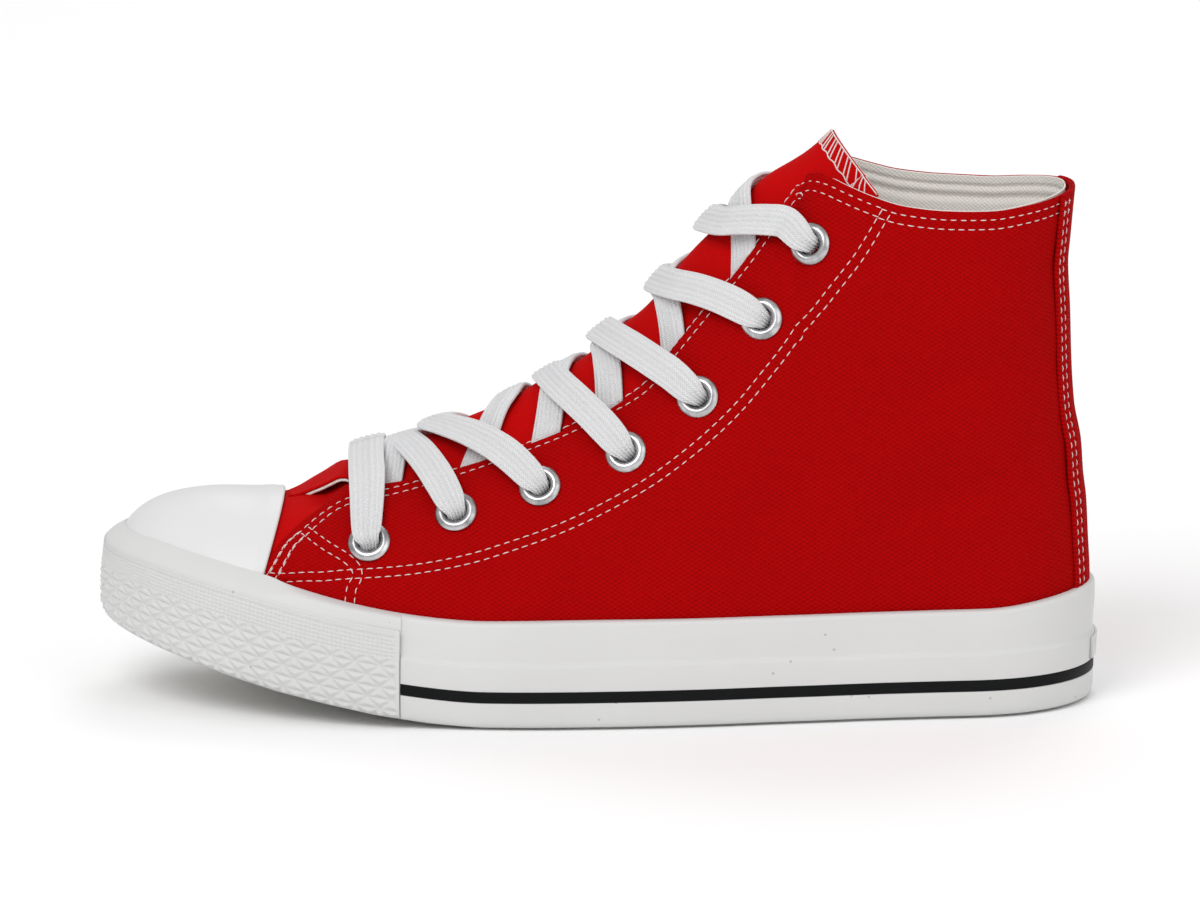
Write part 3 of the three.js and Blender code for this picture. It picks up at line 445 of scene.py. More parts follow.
CORNER_DROP = FLAP_CORNER / COLLAR_FRONT_RISE
CORNER_AT = float(
    turning_point(COLLAR_FROM - 0.03, 1, lambda s: flap_rise(s) < 1 - CORNER_DROP, ())
)


def edge_rise(s):
    past = np.clip((s - CORNER_AT) * LAST_LENGTH / FLAP_CORNER, 0, 1)
    corner = 1 - CORNER_DROP * (1 - np.sqrt(1 - (1 - past) ** 2))
    return np.where(s <= THROAT_FROM, 1.0, np.minimum(flap_rise(s), corner))


# The frame's own place: the solids were centred over the floor after they were made.
def frame_shift():
    low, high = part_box("upper")
    along, up = np.linspace(0, 1, 400)[:, None], np.linspace(0, 1, 60)
    outer, inner = (surface(along, up, side)[..., 1] for side in (LATERAL, MEDIAL))
    across = (low.y + high.y) / 2 / MM - (outer.min() + inner.max()) / 2
    return np.array([low.x / MM - LAST_X, across, 0.0])


SHIFT = frame_shift()


# Meshes.
def add_object(name, data):
    thing = bpy.data.objects.new(name, data)
    bpy.context.scene.collection.objects.link(thing)
    return thing


def mesh_piece(name, points, faces, material, replaces=(), uv=None):
    """A smooth mesh from millimetre points that rides on the shoe's one body."""
    mesh = bpy.data.meshes.new(name)
    placed = (np.asarray(points, float) + SHIFT) * MM
    mesh.from_pydata(placed.tolist(), [], faces)
    if uv is not None:
        layer = mesh.uv_layers.new(name="cloth")
        loops = np.zeros(len(mesh.loops), np.int32)
        mesh.loops.foreach_get("vertex_index", loops)
        layer.data.foreach_set("uv", np.asarray(uv, float)[loops].ravel())
    mesh.shade_smooth()
    mesh.materials.append(material)
    mesh.validate()
    piece = add_object(name, mesh)
    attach(piece, "root")
    if replaces:
        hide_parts(*replaces)
    return piece


def grid_quads(columns, rows):
    a = (np.arange(columns - 1)[:, None] * rows + np.arange(rows - 1)).ravel()
    return np.stack([a, a + rows, a + rows + 1, a + 1], -1)


def weld(points, extras, faces):
    """Joins points that lie together, with the mean of their extra values."""
    keys = np.round(points / WELD_REACH).astype(np.int64)
    _, first, back = np.unique(keys, axis=0, return_index=True, return_inverse=True)
    back = back.ravel()
    count = np.bincount(back).astype(float)
    merged = []
    for extra in extras:
        flat = extra.reshape(len(points), -1)
        total = [np.bincount(back, flat[:, k]) / count for k in range(flat.shape[1])]
        merged.append(np.stack(total, -1).reshape((len(first),) + extra.shape[1:]))
    kept = []
    for face in faces:
        ring = [int(back[v]) for v in face]
        ring = [v for i, v in enumerate(ring) if v != ring[i - 1]]
        if len(ring) > 2:
            kept.append(ring)
    return points[first], merged, kept


def shell(points, normals, faces, high, low):
    """A closed sheet between two distances along its normals, with rounded edges."""
    count = len(points)
    high, low = np.broadcast_to(high, count), np.broadcast_to(low, count)
    top = points + normals * high[:, None]
    bottom = points + normals * low[:, None]
    edges = {}
    for face in faces:
        for i, a in enumerate(face):
            b = face[(i + 1) % len(face)]
            if edges.pop((b, a), None) is None:
                edges[(a, b)] = True
    rim = sorted({v for edge in edges for v in edge})
    place = {v: k for k, v in enumerate(rim)}
    away = np.zeros((len(rim), 3))
    for a, b in edges:
        lean = np.cross(points[b] - points[a], normals[a])
        lean /= max(np.linalg.norm(lean), 1e-9)
        away[place[a]] += lean
        away[place[b]] += lean
    away = unit(away)
    rim_index = np.array(rim, int)
    centre = (top[rim_index] + bottom[rim_index]) / 2
    radius = ((high - low)[rim_index] / 2)[:, None]
    rings = []
    for k in range(1, EDGE_STEPS):
        angle = math.pi * k / EDGE_STEPS
        turned = math.cos(angle) * normals[rim_index] + math.sin(angle) * away
        rings.append(centre + turned * radius)
    all_points = np.concatenate([top, bottom] + rings)

    def ring_vertex(v, k):
        if k == 0:
            return v
        return v + count if k == EDGE_STEPS else 2 * count + (k - 1) * len(rim) + place[v]

    walls = [
        [ring_vertex(b, k), ring_vertex(a, k), ring_vertex(a, k + 1), ring_vertex(b, k + 1)]
        for a, b in edges
        for k in range(EDGE_STEPS)
    ]
    under = [[v + count for v in reversed(face)] for face in faces]
    return all_points, faces + under + walls, rim_index


def spread(values, rim_index):
    """Values of a sheet's points, repeated for all the points of its shell."""
    return np.concatenate([values, values] + [values[rim_index]] * (EDGE_STEPS - 1))


def canvas_sheet(name, columns, sides, rows, place, lift, faces_at, material, node):
    """A closed sheet on the last, between two distances from its surface.

    columns and sides have a value for each station, rows is a count, place gives s and t
    from a column and a share of the height, and lift says how far the points are raised.
    """
    along, up = np.meshgrid(columns, np.linspace(0, 1, rows), indexing="ij")
    s, t = place(along, up)
    side = np.broadcast_to(np.asarray(sides, float)[:, None], s.shape)
    base, normal = surface(s, t, side), outward(s, t, side)
    reach = np.linalg.norm(np.diff(base, axis=1), axis=-1)
    v = np.concatenate([np.zeros((len(columns), 1)), np.cumsum(reach, axis=1)], axis=1)
    u = (s * LAST_LENGTH) * np.where(side > 0, -1, 1)
    uv = np.stack([u, v + base[:, :1, 2]], -1).reshape(-1, 2)
    quads = grid_quads(len(columns), rows)
    # Every face looks outward, also where a wrapped sheet turns back at toe or heel.
    from_s, to_s = s.ravel()[quads[:, 0]], s.ravel()[quads[:, 1]]
    from_side, to_side = side.ravel()[quads[:, 0]], side.ravel()[quads[:, 1]]
    inner_side = np.where(np.abs(from_s - 0.5) < np.abs(to_s - 0.5), from_side, to_side)
    turned = (to_s - from_s) * inner_side > 0
    quads = np.where(turned[:, None], quads[:, ::-1], quads)
    points, (normals, uvs, s_flat, t_flat, sides_flat), faces = weld(
        base.reshape(-1, 3), [normal.reshape(-1, 3), uv, s.ravel(), t.ravel(), side.ravel()], quads
    )
    normals = unit(normals)
    # The upper is open at its eyelets.
    if node == "upper":
        middles = np.array([points[face].mean(0) for face in faces])
        seats = np.array([seat for side_seats in SEATS.values() for seat, _ in side_seats])
        gap = np.min(np.linalg.norm(middles[:, None] - seats[None], axis=-1), axis=1)
        faces = [face for face, clear in zip(faces, gap) if clear > HOLE]
    raised = lift(points, s_flat, t_flat, sides_flat)
    high, low = faces_at
    made, all_faces, rim = shell(points, normals, faces, high + raised, low + raised)
    mesh_piece(name, made, all_faces, material, [node], spread(uvs, rim))


def sweep(line, facing, across, high):
    """A section carried along a line, with a row of offsets for each of its points."""
    tangent = unit(np.gradient(line, axis=0))
    wide = unit(np.cross(tangent, facing))
    up = np.cross(wide, tangent)
    return line[:, None] + wide[:, None] * across[..., None] + up[:, None] * high[..., None]


def round_sweep(line, facing, radius):
    angle = np.linspace(0, 2 * math.pi, THREAD_SIDES, endpoint=False)
    radius = np.broadcast_to(radius, len(line))[:, None]
    return sweep(line, facing, np.cos(angle) * radius, np.sin(angle) * radius)


def thread_piece(name, rings):
    """Many swept threads as one mesh."""
    points, faces, start = [], [], 0
    for ring in rings:
        stations, size = ring.shape[:2]
        faces += [[v + start for v in face] for face in ring_faces(stations, size, False)]
        points.append(ring.reshape(-1, 3))
        start += stations * size
    mesh_piece(name, np.concatenate(points), faces, thread_white)


# Shader trees.
class Shader:
    """A node tree with a Principled surface, built by short calls."""

    def __init__(self, name, **sockets):
        self.material = bpy.data.materials.new(name)
        self.material.use_nodes = True
        self.tree = self.material.node_tree
        self.tree.nodes.clear()
        self.surface = self.tree.nodes.new("ShaderNodeBsdfPrincipled")
        output = self.tree.nodes.new("ShaderNodeOutputMaterial")
        self.tree.links.new(self.surface.outputs["BSDF"], output.inputs["Surface"])
        for socket, value in sockets.items():
            self.surface.inputs[socket.replace("_", " ")].default_value = value
        self.place = self.tree.nodes.new("ShaderNodeTexCoord").outputs["Object"]

    def put(self, value, socket):
        if isinstance(value, bpy.types.NodeSocket):
            self.tree.links.new(value, socket)
        else:
            socket.default_value = value

    def math(self, operation, a, b=0.0):
        node = self.tree.nodes.new("ShaderNodeMath")
        node.operation = operation
        self.put(a, node.inputs[0])
        self.put(b, node.inputs[1])
        return node.outputs[0]

    def plus(self, a, b):
        return self.math("ADD", a, b)

    def times(self, a, b):
        return self.math("MULTIPLY", a, b)

    def noise(self, scale, detail):
        node = self.tree.nodes.new("ShaderNodeTexNoise")
        self.put(self.place, node.inputs["Vector"])
        node.inputs["Scale"].default_value = scale
        node.inputs["Detail"].default_value = detail
        return node.outputs["Fac"]

    def cells(self, scale):
        node = self.tree.nodes.new("ShaderNodeTexVoronoi")
        self.put(self.place, node.inputs["Vector"])
        node.inputs["Scale"].default_value = scale
        return node.outputs["Distance"], node.outputs["Color"]

    def ramp(self, value, low, high):
        node = self.tree.nodes.new("ShaderNodeMapRange")
        self.put(value, node.inputs["Value"])
        node.inputs["From Min"].default_value = low
        node.inputs["From Max"].default_value = high
        return node.outputs["Result"]

    def blend(self, share, a, b):
        node = self.tree.nodes.new("ShaderNodeMix")
        node.data_type = "RGBA"
        self.put(share, node.inputs["Factor"])
        self.put(a, node.inputs["A"])
        self.put(b, node.inputs["B"])
        return node.outputs["Result"]

    def tones(self, value, low, high, color, dark, light):
        """The colour from a dark to a light shade as the value goes from low to high."""
        return self.blend(self.ramp(value, low, high), shade(color, dark), shade(color, light))

    def cloth_uv(self):
        uv = self.tree.nodes.new("ShaderNodeUVMap")
        uv.uv_map = "cloth"
        split = self.tree.nodes.new("ShaderNodeSeparateXYZ")
        self.put(uv.outputs["UV"], split.inputs[0])
        return split.outputs["X"], split.outputs["Y"]

    def bump(self, height, distance):
        node = self.tree.nodes.new("ShaderNodeBump")
        node.inputs["Strength"].default_value = 1.0
        node.inputs["Distance"].default_value = distance * MM
        self.put(height, node.inputs["Height"])
        self.put(node.outputs["Normal"], self.surface.inputs["Normal"])

    def color(self, value):
        self.put(value, self.surface.inputs["Base Color"])

    def roughness(self, value):
        self.put(value, self.surface.inputs["Roughness"])


def plain_weave(shader, pitch, slack):
    """Height of a plain weave over the cloth's own millimetres, from 0 to 1."""
    wander = shader.times(shader.noise(260, 2), slack)
    waves = [
        shader.math("SINE", shader.times(shader.plus(axis, wander), math.pi / spacing))
        for axis, spacing in zip(shader.cloth_uv(), pitch)
    ]
    return shader.plus(shader.times(shader.times(waves[0], waves[1]), 0.5), 0.5)


def shade(color, factor):
    return tuple(min(1.0, c * factor) for c in color) + (1.0,)


def cloth(name, color, pitch, relief, contrast, slack=0.25, gloss=0.05):
    shader = Shader(name, Roughness=0.95, Specular_IOR_Level=gloss)
    weave = plain_weave(shader, pitch, slack)
    height = shader.plus(weave, shader.times(shader.noise(620, 3), 0.6))
    woven = shader.tones(height, 0.3, 1.3, color, 1 - contrast, 1 + contrast * 0.35)
    cloudy = shader.ramp(shader.noise(28, 3), 0.3, 0.7)
    shader.color(shader.blend(cloudy, shader.blend(0.12, woven, shade(color, 0.6)), woven))
    shader.bump(height, relief)
    return shader.material


def worn_specks(shader, share):
    """Where small dark marks lie, as a share of the cells of a fine pattern."""
    distance, random = shader.cells(420)
    split = shader.tree.nodes.new("ShaderNodeSeparateColor")
    shader.put(random, split.inputs[0])
    near = shader.math("LESS_THAN", distance, 0.16)
    rare = shader.math("GREATER_THAN", split.outputs[0], 1 - share)
    worn = shader.math("GREATER_THAN", shader.noise(45, 2), 0.5)
    return shader.times(shader.times(near, rare), worn)


def rubber(name, color, roughness, relief, specks=0.0, grain=300, gloss=0.3):
    shader = Shader(name, Roughness=roughness, Specular_IOR_Level=gloss)
    tone = shader.tones(shader.noise(18, 4), 0.3, 0.7, color, 0.955, 1.0)
    if specks:
        dirty = worn_specks(shader, specks)
        tone = shader.blend(shader.times(dirty, 0.55), tone, DIRT)
    shader.color(tone)
    shader.roughness(shader.plus(shader.times(shader.noise(60, 3), 0.14), roughness - 0.07))
    shader.bump(shader.noise(grain, 3), relief)
    return shader.material


def lace_cloth(name, color):
    shader = Shader(
        name, Roughness=0.93, Sheen_Weight=0.15, Sheen_Roughness=0.5, Specular_IOR_Level=0.15
    )
    u, v = shader.cloth_uv()
    slants = [shader.math(way, shader.times(u, 7.0), shader.times(v, 8.5)) for way in ("ADD", "SUBTRACT")]
    braid, cross = (shader.math("SINE", slant) for slant in slants)
    knit = shader.times(shader.plus(braid, cross), 0.25)
    # Ribs across the lace; through the colour below they paint shade into the grooves between the ribs.
    ribs = shader.math("COSINE", shader.times(u, 2 * math.pi * RIBS / LACE_WIDTH))
    fuzz_and_rib_shade = shader.plus(shader.noise(1500, 3), shader.times(ribs, 0.16))
    height = shader.plus(knit, fuzz_and_rib_shade)
    # The lace is darker where this height is low: its knit pattern and fuzz, and painted shade in the
    # grooves between the ribs.
    shader.color(shader.tones(height, 0.0, 1.0, color, 0.84, 1.02))
    shader.bump(height, 0.14)
    return shader.material


def thread_cloth(name, color):
    shader = Shader(name, Roughness=0.8, Specular_IOR_Level=0.25)
    twist = shader.noise(2400, 2)
    shader.color(shader.tones(twist, 0.3, 0.7, color, 0.84, 1.0))
    shader.bump(twist, 0.08)
    return shader.material


def polished_metal(name, color):
    shader = Shader(name, Metallic=1.0)
    brushed = shader.noise(700, 3)
    shader.color(shader.tones(shader.noise(260, 2), 0.35, 0.65, color, 0.6, 1.12))
    shader.roughness(shader.plus(shader.times(brushed, 0.14), 0.22))
    shader.bump(brushed, 0.008)
    return shader.material


DIRT = (0.3, 0.27, 0.24, 1)
RED = (0.385, 0.0008, 0.0012)
CANVAS_PITCH = (1.05, 0.64)
canvas_red = cloth("canvas_red", RED, CANVAS_PITCH, 0.2, contrast=0.26, slack=0.5)
fine_red = cloth("fine_red", (0.52, 0.001, 0.0015), (0.5, 0.4), 0.07, contrast=0.16, gloss=0.08)
lining_white = cloth("lining_white", (0.8, 0.765, 0.72), (0.7, 0.5), 0.1, contrast=0.1)
insole_cloth = cloth("insole_cloth", (0.74, 0.7, 0.62), (0.9, 0.9), 0.16, contrast=0.16)
thread_white = thread_cloth("thread_white", (0.8, 0.69, 0.67))
lace_white = lace_cloth("lace_white", (0.73, 0.73, 0.74))
cap_white = rubber("cap_white", (0.695, 0.695, 0.695), 0.4, 0.02, grain=160)
wall_white = rubber("wall_white", (0.635, 0.635, 0.63), 0.48, 0.05, specks=0.05)
bumper_white = rubber("bumper_white", (0.63, 0.63, 0.625), 0.55, 0.06, specks=0.04)
sole_white = rubber("sole_white", (0.6, 0.59, 0.56), 0.7, 0.12, specks=0.08)
stripe_black = rubber("stripe_black", (0.004, 0.0045, 0.005), 0.5, 0.04, gloss=0.12)
metal = polished_metal("eyelet_silver", (0.54, 0.54, 0.55))


# Seams. Each is a line of places on one side, s along and t up, drawn smooth.
THROAT_SEAM = [
    (0.150, 0.53), (0.157, 0.566), (0.1742, 0.754), (0.1895, 0.822), (0.2099, 0.876),
    (0.2358, 0.8943), (0.2709, 0.8963), (0.3235, 0.905), (0.3958, 0.8958), (0.4577, 0.8783),
    (0.5051, 0.8677), (0.5432, 0.8577), (0.5699, 0.8759), (0.6018, 0.892), (0.6514, 0.9155),
    (0.6878, 0.9447), (0.7003, 0.9558), (0.7116, 0.9729), (0.7239, 0.9833), (0.7551, 0.9857),
    (0.794, 0.9852),
]
FACING_SEAM = [
    (0.1466, 0.583), (0.19, 0.588), (0.2367, 0.562), (0.3139, 0.5625), (0.3756, 0.5695),
    (0.4373, 0.5773), (0.4989, 0.5905), (0.5503, 0.6004), (0.6016, 0.6094), (0.6532, 0.6412),
    (0.7054, 0.7087), (0.7583, 0.8505), (0.7941, 0.9861),
]
COLLAR_SEAM = [(0.79, 0.9835), (0.853, 0.9835), (0.9181, 0.9835), (0.97, 0.9835), (0.9935, 0.9835)]
DIAGONAL_SEAM = [(0.1895, 0.8223), (0.2158, 0.6873), (0.2439, 0.5569), (0.239, 0.47), (0.2368, 0.38)]
ROW_GAP = 2.6
SEAM_STEP = 0.4
STITCH_PITCH = 2.75
STITCH_LENGTH = 2.05
THREAD = 0.31
THREAD_SIDES = 6


def smooth_line(points, per_span=24):
    """A Catmull-Rom line through given places."""
    p = np.asarray(points, float)
    p = np.concatenate([2 * p[:1] - p[1:2], p, 2 * p[-1:] - p[-2:-1]])
    q = np.linspace(0, 1, per_span, endpoint=False)[:, None]
    spans = [
        0.5
        * (
            2 * b
            + (c - a) * q
            + (2 * a - 5 * b + 4 * c - d) * q**2
            + (3 * b - a - 3 * c + d) * q**3
        )
        for a, b, c, d in zip(p[:-3], p[1:-2], p[2:-1], p[3:])
    ]
    return np.concatenate(spans + [p[-2:-1]])


def travelled(points):
    """How far along a line each of its points lies."""
    return np.concatenate([[0], np.cumsum(np.linalg.norm(np.diff(points, axis=0), axis=1))])


def even_steps(points, step):
    """Places along a line at even distances, as shares of its index."""
    length = travelled(points)
    count = max(2, int(round(length[-1] / step)) + 1)
    return np.interp(np.linspace(0, length[-1], count), length, np.arange(len(points)))


def at_index(values, index):
    low = np.clip(np.floor(index).astype(int), 0, len(values) - 2)
    share = (index - low).reshape((-1,) + (1,) * (values.ndim - 1))
    return values[low] * (1 - share) + values[low + 1] * share


def seam_row(places, side, shift):
    """A row of a seam as points, normals and tangents, moved sideways over the canvas."""
    line = smooth_line(places)
    s, t = line[:, 0], line[:, 1]
    points = surface(s, t, side)
    along, rising = slopes(s, t, side)
    normal = outward(s, t, side)
    tangent = unit(np.gradient(points, axis=0))
    sideways = np.cross(normal, tangent) * side * shift
    basis = np.stack([along, rising], -1)
    moved = np.einsum("nij,nj->ni", np.linalg.pinv(basis), sideways)
    s, t = np.clip(s + moved[:, 0], 0, 1), np.clip(t + moved[:, 1], 0, 1)
    points = surface(s, t, side)
    index = even_steps(points, SEAM_STEP)
    s, t = at_index(s, index), at_index(t, index)
    return surface(s, t, side), outward(s, t, side)


SEAMS = ((THROAT_SEAM, ROW_GAP), (FACING_SEAM, ROW_GAP), (COLLAR_SEAM, ROW_GAP), (DIAGONAL_SEAM, -ROW_GAP))
ROWS = {
    name: [seam_row(places, side, shift) for places, gap in SEAMS for shift in (0, gap)]
    for name, side in SIDES.items()
}


# Farthest that a seam's pull is felt, and how many points are measured at once.
SEAM_REACH = 3
AT_ONCE = 4000


def seam_pull(points, rows, depth=0.42, width=0.85):
    """How far the thread of the seam rows draws the cloth in."""
    pull = np.zeros(len(points))
    for row, _ in rows:
        low, high = row.min(0) - SEAM_REACH, row.max(0) + SEAM_REACH
        near = np.flatnonzero(np.all((points > low) & (points < high), axis=1))
        for start in range(0, len(near), AT_ONCE):
            part = near[start : start + AT_ONCE]
            gap = np.linalg.norm(points[part, None] - row[None, ::2], axis=-1).min(1)
            pull[part] = np.minimum(pull[part], -depth * np.exp(-((gap / width) ** 2)))
    return pull


# Creases: soft troughs and ridges, given as places of both ends on one side.
CREASES = table(
    "s0 t0 s1 t1 depth width side",
    (0.77, 0.30, 0.97, 0.42, 0.9, 6.0, -1),
    (0.75, 0.42, 0.99, 0.55, -0.7, 7.0, -1),
    (0.79, 0.58, 0.99, 0.64, 0.8, 6.0, -1),
    (0.62, 0.34, 0.78, 0.46, 0.6, 7.0, -1),
    (0.33, 0.30, 0.42, 0.50, 0.6, 5.0, -1),
    (0.42, 0.26, 0.50, 0.50, -0.5, 6.0, -1),
    (0.52, 0.26, 0.60, 0.48, 0.5, 6.0, -1),
    (0.84, 0.74, 0.99, 0.80, -0.6, 7.0, -1),
    (0.76, 0.34, 0.98, 0.40, 0.9, 6.0, 1),
    (0.78, 0.48, 0.99, 0.58, 0.8, 6.0, 1),
    (0.64, 0.30, 0.80, 0.44, 0.7, 7.0, 1),
    (0.36, 0.28, 0.44, 0.52, 0.7, 5.0, 1),
    (0.48, 0.28, 0.56, 0.50, -0.5, 6.0, 1),
    (0.82, 0.70, 0.98, 0.78, -0.6, 7.0, 1),
)


# How far a crease bows upward in its middle, and how much deeper than its row all are.
CREASE_BOW = 3.0
CREASE_SCALE = 1.5


def creasing(points, sides):
    lift = np.zeros(len(points))
    for s0, t0, s1, t1, depth, width, side in zip(*CREASES.values()):
        start, end = surface(np.array([s0, s1]), np.array([t0, t1]), side)
        span = end - start
        share = np.clip((points - start) @ span / (span @ span), 0, 1)
        bow = np.sin(np.pi * share)[:, None] * np.array([0, 0, CREASE_BOW])
        gap = np.linalg.norm((points - start - share[:, None] * span - bow)[:, [0, 2]], axis=1)
        fade = np.sin(np.pi * np.clip(share * 0.9 + 0.05, 0, 1))
        shape_share = np.exp(-((gap / width) ** 2)) * fade
        lift -= CREASE_SCALE * depth * shape_share * (sides == side)
    return lift


SWELL = 0.22
FLAT_TOE = (0.16, 0.3)


def hang(points, s, sides):
    """Creases and the cloth's soft unevenness, which fade out toward the toe."""
    x, y, z = points.T
    broad = np.sin(x * 0.083 + 1.3) * np.sin(z * 0.11 + 0.4)
    fine = 0.6 * np.sin(x * 0.17 + z * 0.13 + y * 0.05)
    return (creasing(points, sides) + SWELL * (broad + fine)) * ease(*FLAT_TOE, s)


# Places of the eyelets, each with the way out of the canvas.
SEATS = {
    side: [
        (surface(at, up, side), outward(at, up, side))
        for at, up in zip(EYELETS["at"], EYELETS["up"])
    ]
    for side in (LATERAL, MEDIAL)
}


# Upper: quarters over the vamp, and a lining inside both.
QUARTER_FROM = 0.149
FRONT_LINE = [
    (QUARTER_FROM, 0.5), (0.152, 0.566), (0.166, 0.745), (0.181, 0.83), (0.196, 0.88),
    (0.215, 0.912), (0.235, 0.944), (0.26, 1.0), (0.3, 1.1),
]
front_rise = curve_through(*zip(*FRONT_LINE))
QUARTER_DEPTH = 0.55
LINING_DEPTH = 0.35
# How far vamp and lining stay below the top line where the tongue lies over them, and where.
VAMP_DROP = 2.4
VAMP_DROP_FROM = (0.19, 0.215)
VAMP_TO = 0.262
LINING_DROP = 14
LINING_DROP_FROM = (0.16, 0.18)
LINING_DROP_TO = (0.24, 0.27)
HOLE = EYELET_HOLE / 2 + EYELET_METAL + 0.2
HIDDEN_EDGE = 6.0
# Grooves of the lining's binding: drop below the rim, depth and width.
LINING_GROOVES = ((2.7, 0.7, 0.5), (5.8, 0.95, 0.8))


def hidden_rise(s):
    """The rise at which the canvas goes behind the sidewall, a little below its lip."""
    return np.clip((wall_height_at(s) - PLATFORM - HIDDEN_EDGE) / top_rise(s), 0, 1)


def quarter(name, side, rows):
    corner, past_corner, bend = CORNER_AT - 0.01, CORNER_AT + 0.025, 0.93
    columns = np.concatenate(
        [
            np.linspace(QUARTER_FROM, corner, 200, endpoint=False),
            np.linspace(corner, past_corner, 20, endpoint=False),
            np.linspace(past_corner, bend, 50, endpoint=False),
            1 - (1 - bend) * (1 - np.sin(np.linspace(0, np.pi / 2, 32))),
        ]
    )

    def place(s, up):
        top = np.minimum(front_rise(s), edge_rise(s))
        low = np.minimum(hidden_rise(s), top - 0.02)
        return s, mix(low, top, up)

    def lift(points, s, t, side):
        return seam_pull(points, rows) + hang(points, s, side)

    canvas_sheet(
        name, columns, np.full(len(columns), side), 100, place, lift,
        (0.0, -QUARTER_DEPTH), canvas_red, "upper",
    )


def wrapped_columns(end, count):
    """Stations round the toe: the medial side forward, then the lateral side back."""
    share = (1 - np.cos(np.pi * np.linspace(0, 1, count) / 2)) * end
    side = np.concatenate([np.full(count, MEDIAL), np.full(count - 1, LATERAL)])
    return np.concatenate([share[::-1], share[1:]]), side


def vamp():
    stations, sides = wrapped_columns(VAMP_TO, 80)

    def place(s, up):
        return s, np.sin(np.pi / 2 * up)

    def lift(points, s, t, side):
        near_edge = ease(edge_rise(s) - 0.07, edge_rise(s) + 0.01, t)
        under = ease(*VAMP_DROP_FROM, s) * near_edge
        return seam_pull(points, ROWS["lateral"][:2] + ROWS["medial"][:2], 0.2) - VAMP_DROP * under

    canvas_sheet(
        "vamp", stations, sides, 64, place, lift,
        (-QUARTER_DEPTH - 0.05, -WALL + 0.25), fine_red, "upper",
    )


def lining():
    count = 110
    forward = (1 - np.cos(np.linspace(0, np.pi, count))) / 2
    stations = np.concatenate([forward, forward[::-1][1:]])
    sides = np.concatenate([np.full(count, LATERAL), np.full(count - 1, MEDIAL)])

    def place(s, up):
        front = ease(*LINING_DROP_FROM, s) * (1 - ease(*LINING_DROP_TO, s))
        along_flaps = (1 - ease(CORNER_AT, CORNER_AT + 0.03, s)) * (s > THROAT_FROM)
        short = along_flaps + LINING_DROP * front
        return s, (edge_rise(s) - short / top_rise(s)) * (1 - (1 - up) ** 1.7)

    def lift(points, s, t, side):
        collar = ease(COLLAR_FROM, COLLAR_FROM + 0.03, s)
        below = top_rise(s) * (1 - t)
        grooves = sum(
            depth * np.exp(-(((below - drop) / wide) ** 2)) for drop, depth, wide in LINING_GROOVES
        )
        return grooves * collar + creasing(points, side) * 0.8

    canvas_sheet(
        "lining", stations, sides, 84, place, lift,
        (-WALL + 0.15, -WALL - LINING_DEPTH), lining_white, "upper",
    )


for _name, _side in SIDES.items():
    quarter(f"quarter_{_name}", _side, ROWS[_name])
vamp()
lining()


# Toe cap and backstay.
CAP_TURN = 0.5


def toe_cap():
    stations, sides = wrapped_columns(1.0, 80)

    def rear(t):
        return mix(CAP_EDGE[0], CAP_EDGE[1], t**1.5)

    def place(share, up):
        t = np.sin(np.pi / 2 * up)
        return share * rear(t), t

    def lift(points, s, t, side):
        return -CAP_TURN * ease(0.93, 1.0, s / rear(t))

    canvas_sheet(
        "cap", stations, sides, 70, place, lift, (CAP_STACK, GAP), cap_white, "toe_cap"
    )


def back_reach(width, t):
    """How far forward of the heel the shoe is this wide, as a share of the last's length."""
    return 1 - float(turning_point(1, 0.9, lambda s: half_width(s, t) < width / 2, ()))


BACKSTAY_REACH = back_reach(BACKSTAY_WIDTH, 0.5)
# Rows of stitches down the backstay, as shares of its half width.
BACKSTAY_SHARES = (0.88, 0.67)


def backstay_station(share):
    return 1 - BACKSTAY_REACH * share**2


def backstay_row(side, share):
    low = (wall_height_at(1.0) - PLATFORM) / COLLAR_BACK_RISE
    t = np.linspace(low, 0.992, 300)
    s = backstay_station(np.full_like(t, share))
    return surface(s, t, side), outward(s, t, side)


BACKSTAY_ROWS = [
    backstay_row(side, share) for side in (LATERAL, MEDIAL) for share in BACKSTAY_SHARES
]


def backstay():
    columns = np.linspace(-1, 1, 61)
    low = (wall_height_at(1.0) - HIDDEN_EDGE - PLATFORM) / COLLAR_BACK_RISE

    def place(column, up):
        return backstay_station(np.abs(column)), mix(low, 1.0, up)

    def lift(points, s, t, side):
        return seam_pull(points, BACKSTAY_ROWS, 0.3, 0.8)

    canvas_sheet(
        "heel_strip", columns, np.where(columns < 0, LATERAL, MEDIAL), 110, place, lift,
        (GAP + BACKSTAY_THICKNESS, 0.05), canvas_red, "backstay",
    )


toe_cap()
backstay()


# Rubber round the sole.
def outline(count):
    """The feather line once round from the toe by the outer side, with its normals."""
    along = (1 - np.cos(np.pi * np.linspace(0, 1, count))) / 2
    ends = [BUMPER_REACH - BUMPER_ROOM, BUMPER_REACH - 1e-4, BUMPER_REACH + 1e-4]
    along = np.unique(np.concatenate([along, ends, [BUMPER_REACH + BUMPER_ROOM]]))
    s = np.concatenate([along, along[1:-1][::-1]])
    side = np.concatenate([np.full(len(along), LATERAL), np.full(len(along) - 2, MEDIAL)])
    here = surface(s, 0, side)
    ahead = np.roll(here, -1, 0) - np.roll(here, 1, 0)
    out = unit(np.stack([ahead[:, 1], -ahead[:, 0], np.zeros(len(s))], -1))
    return {"s": s, "side": side, "here": here, "out": out}


def part_of(around, chosen, roll=0):
    """Some stations of an outline, in their order from the one after a gap."""
    order = np.roll(np.arange(len(around["s"])), roll)
    order = order[chosen[order]]
    return {key: value[order] for key, value in around.items()}


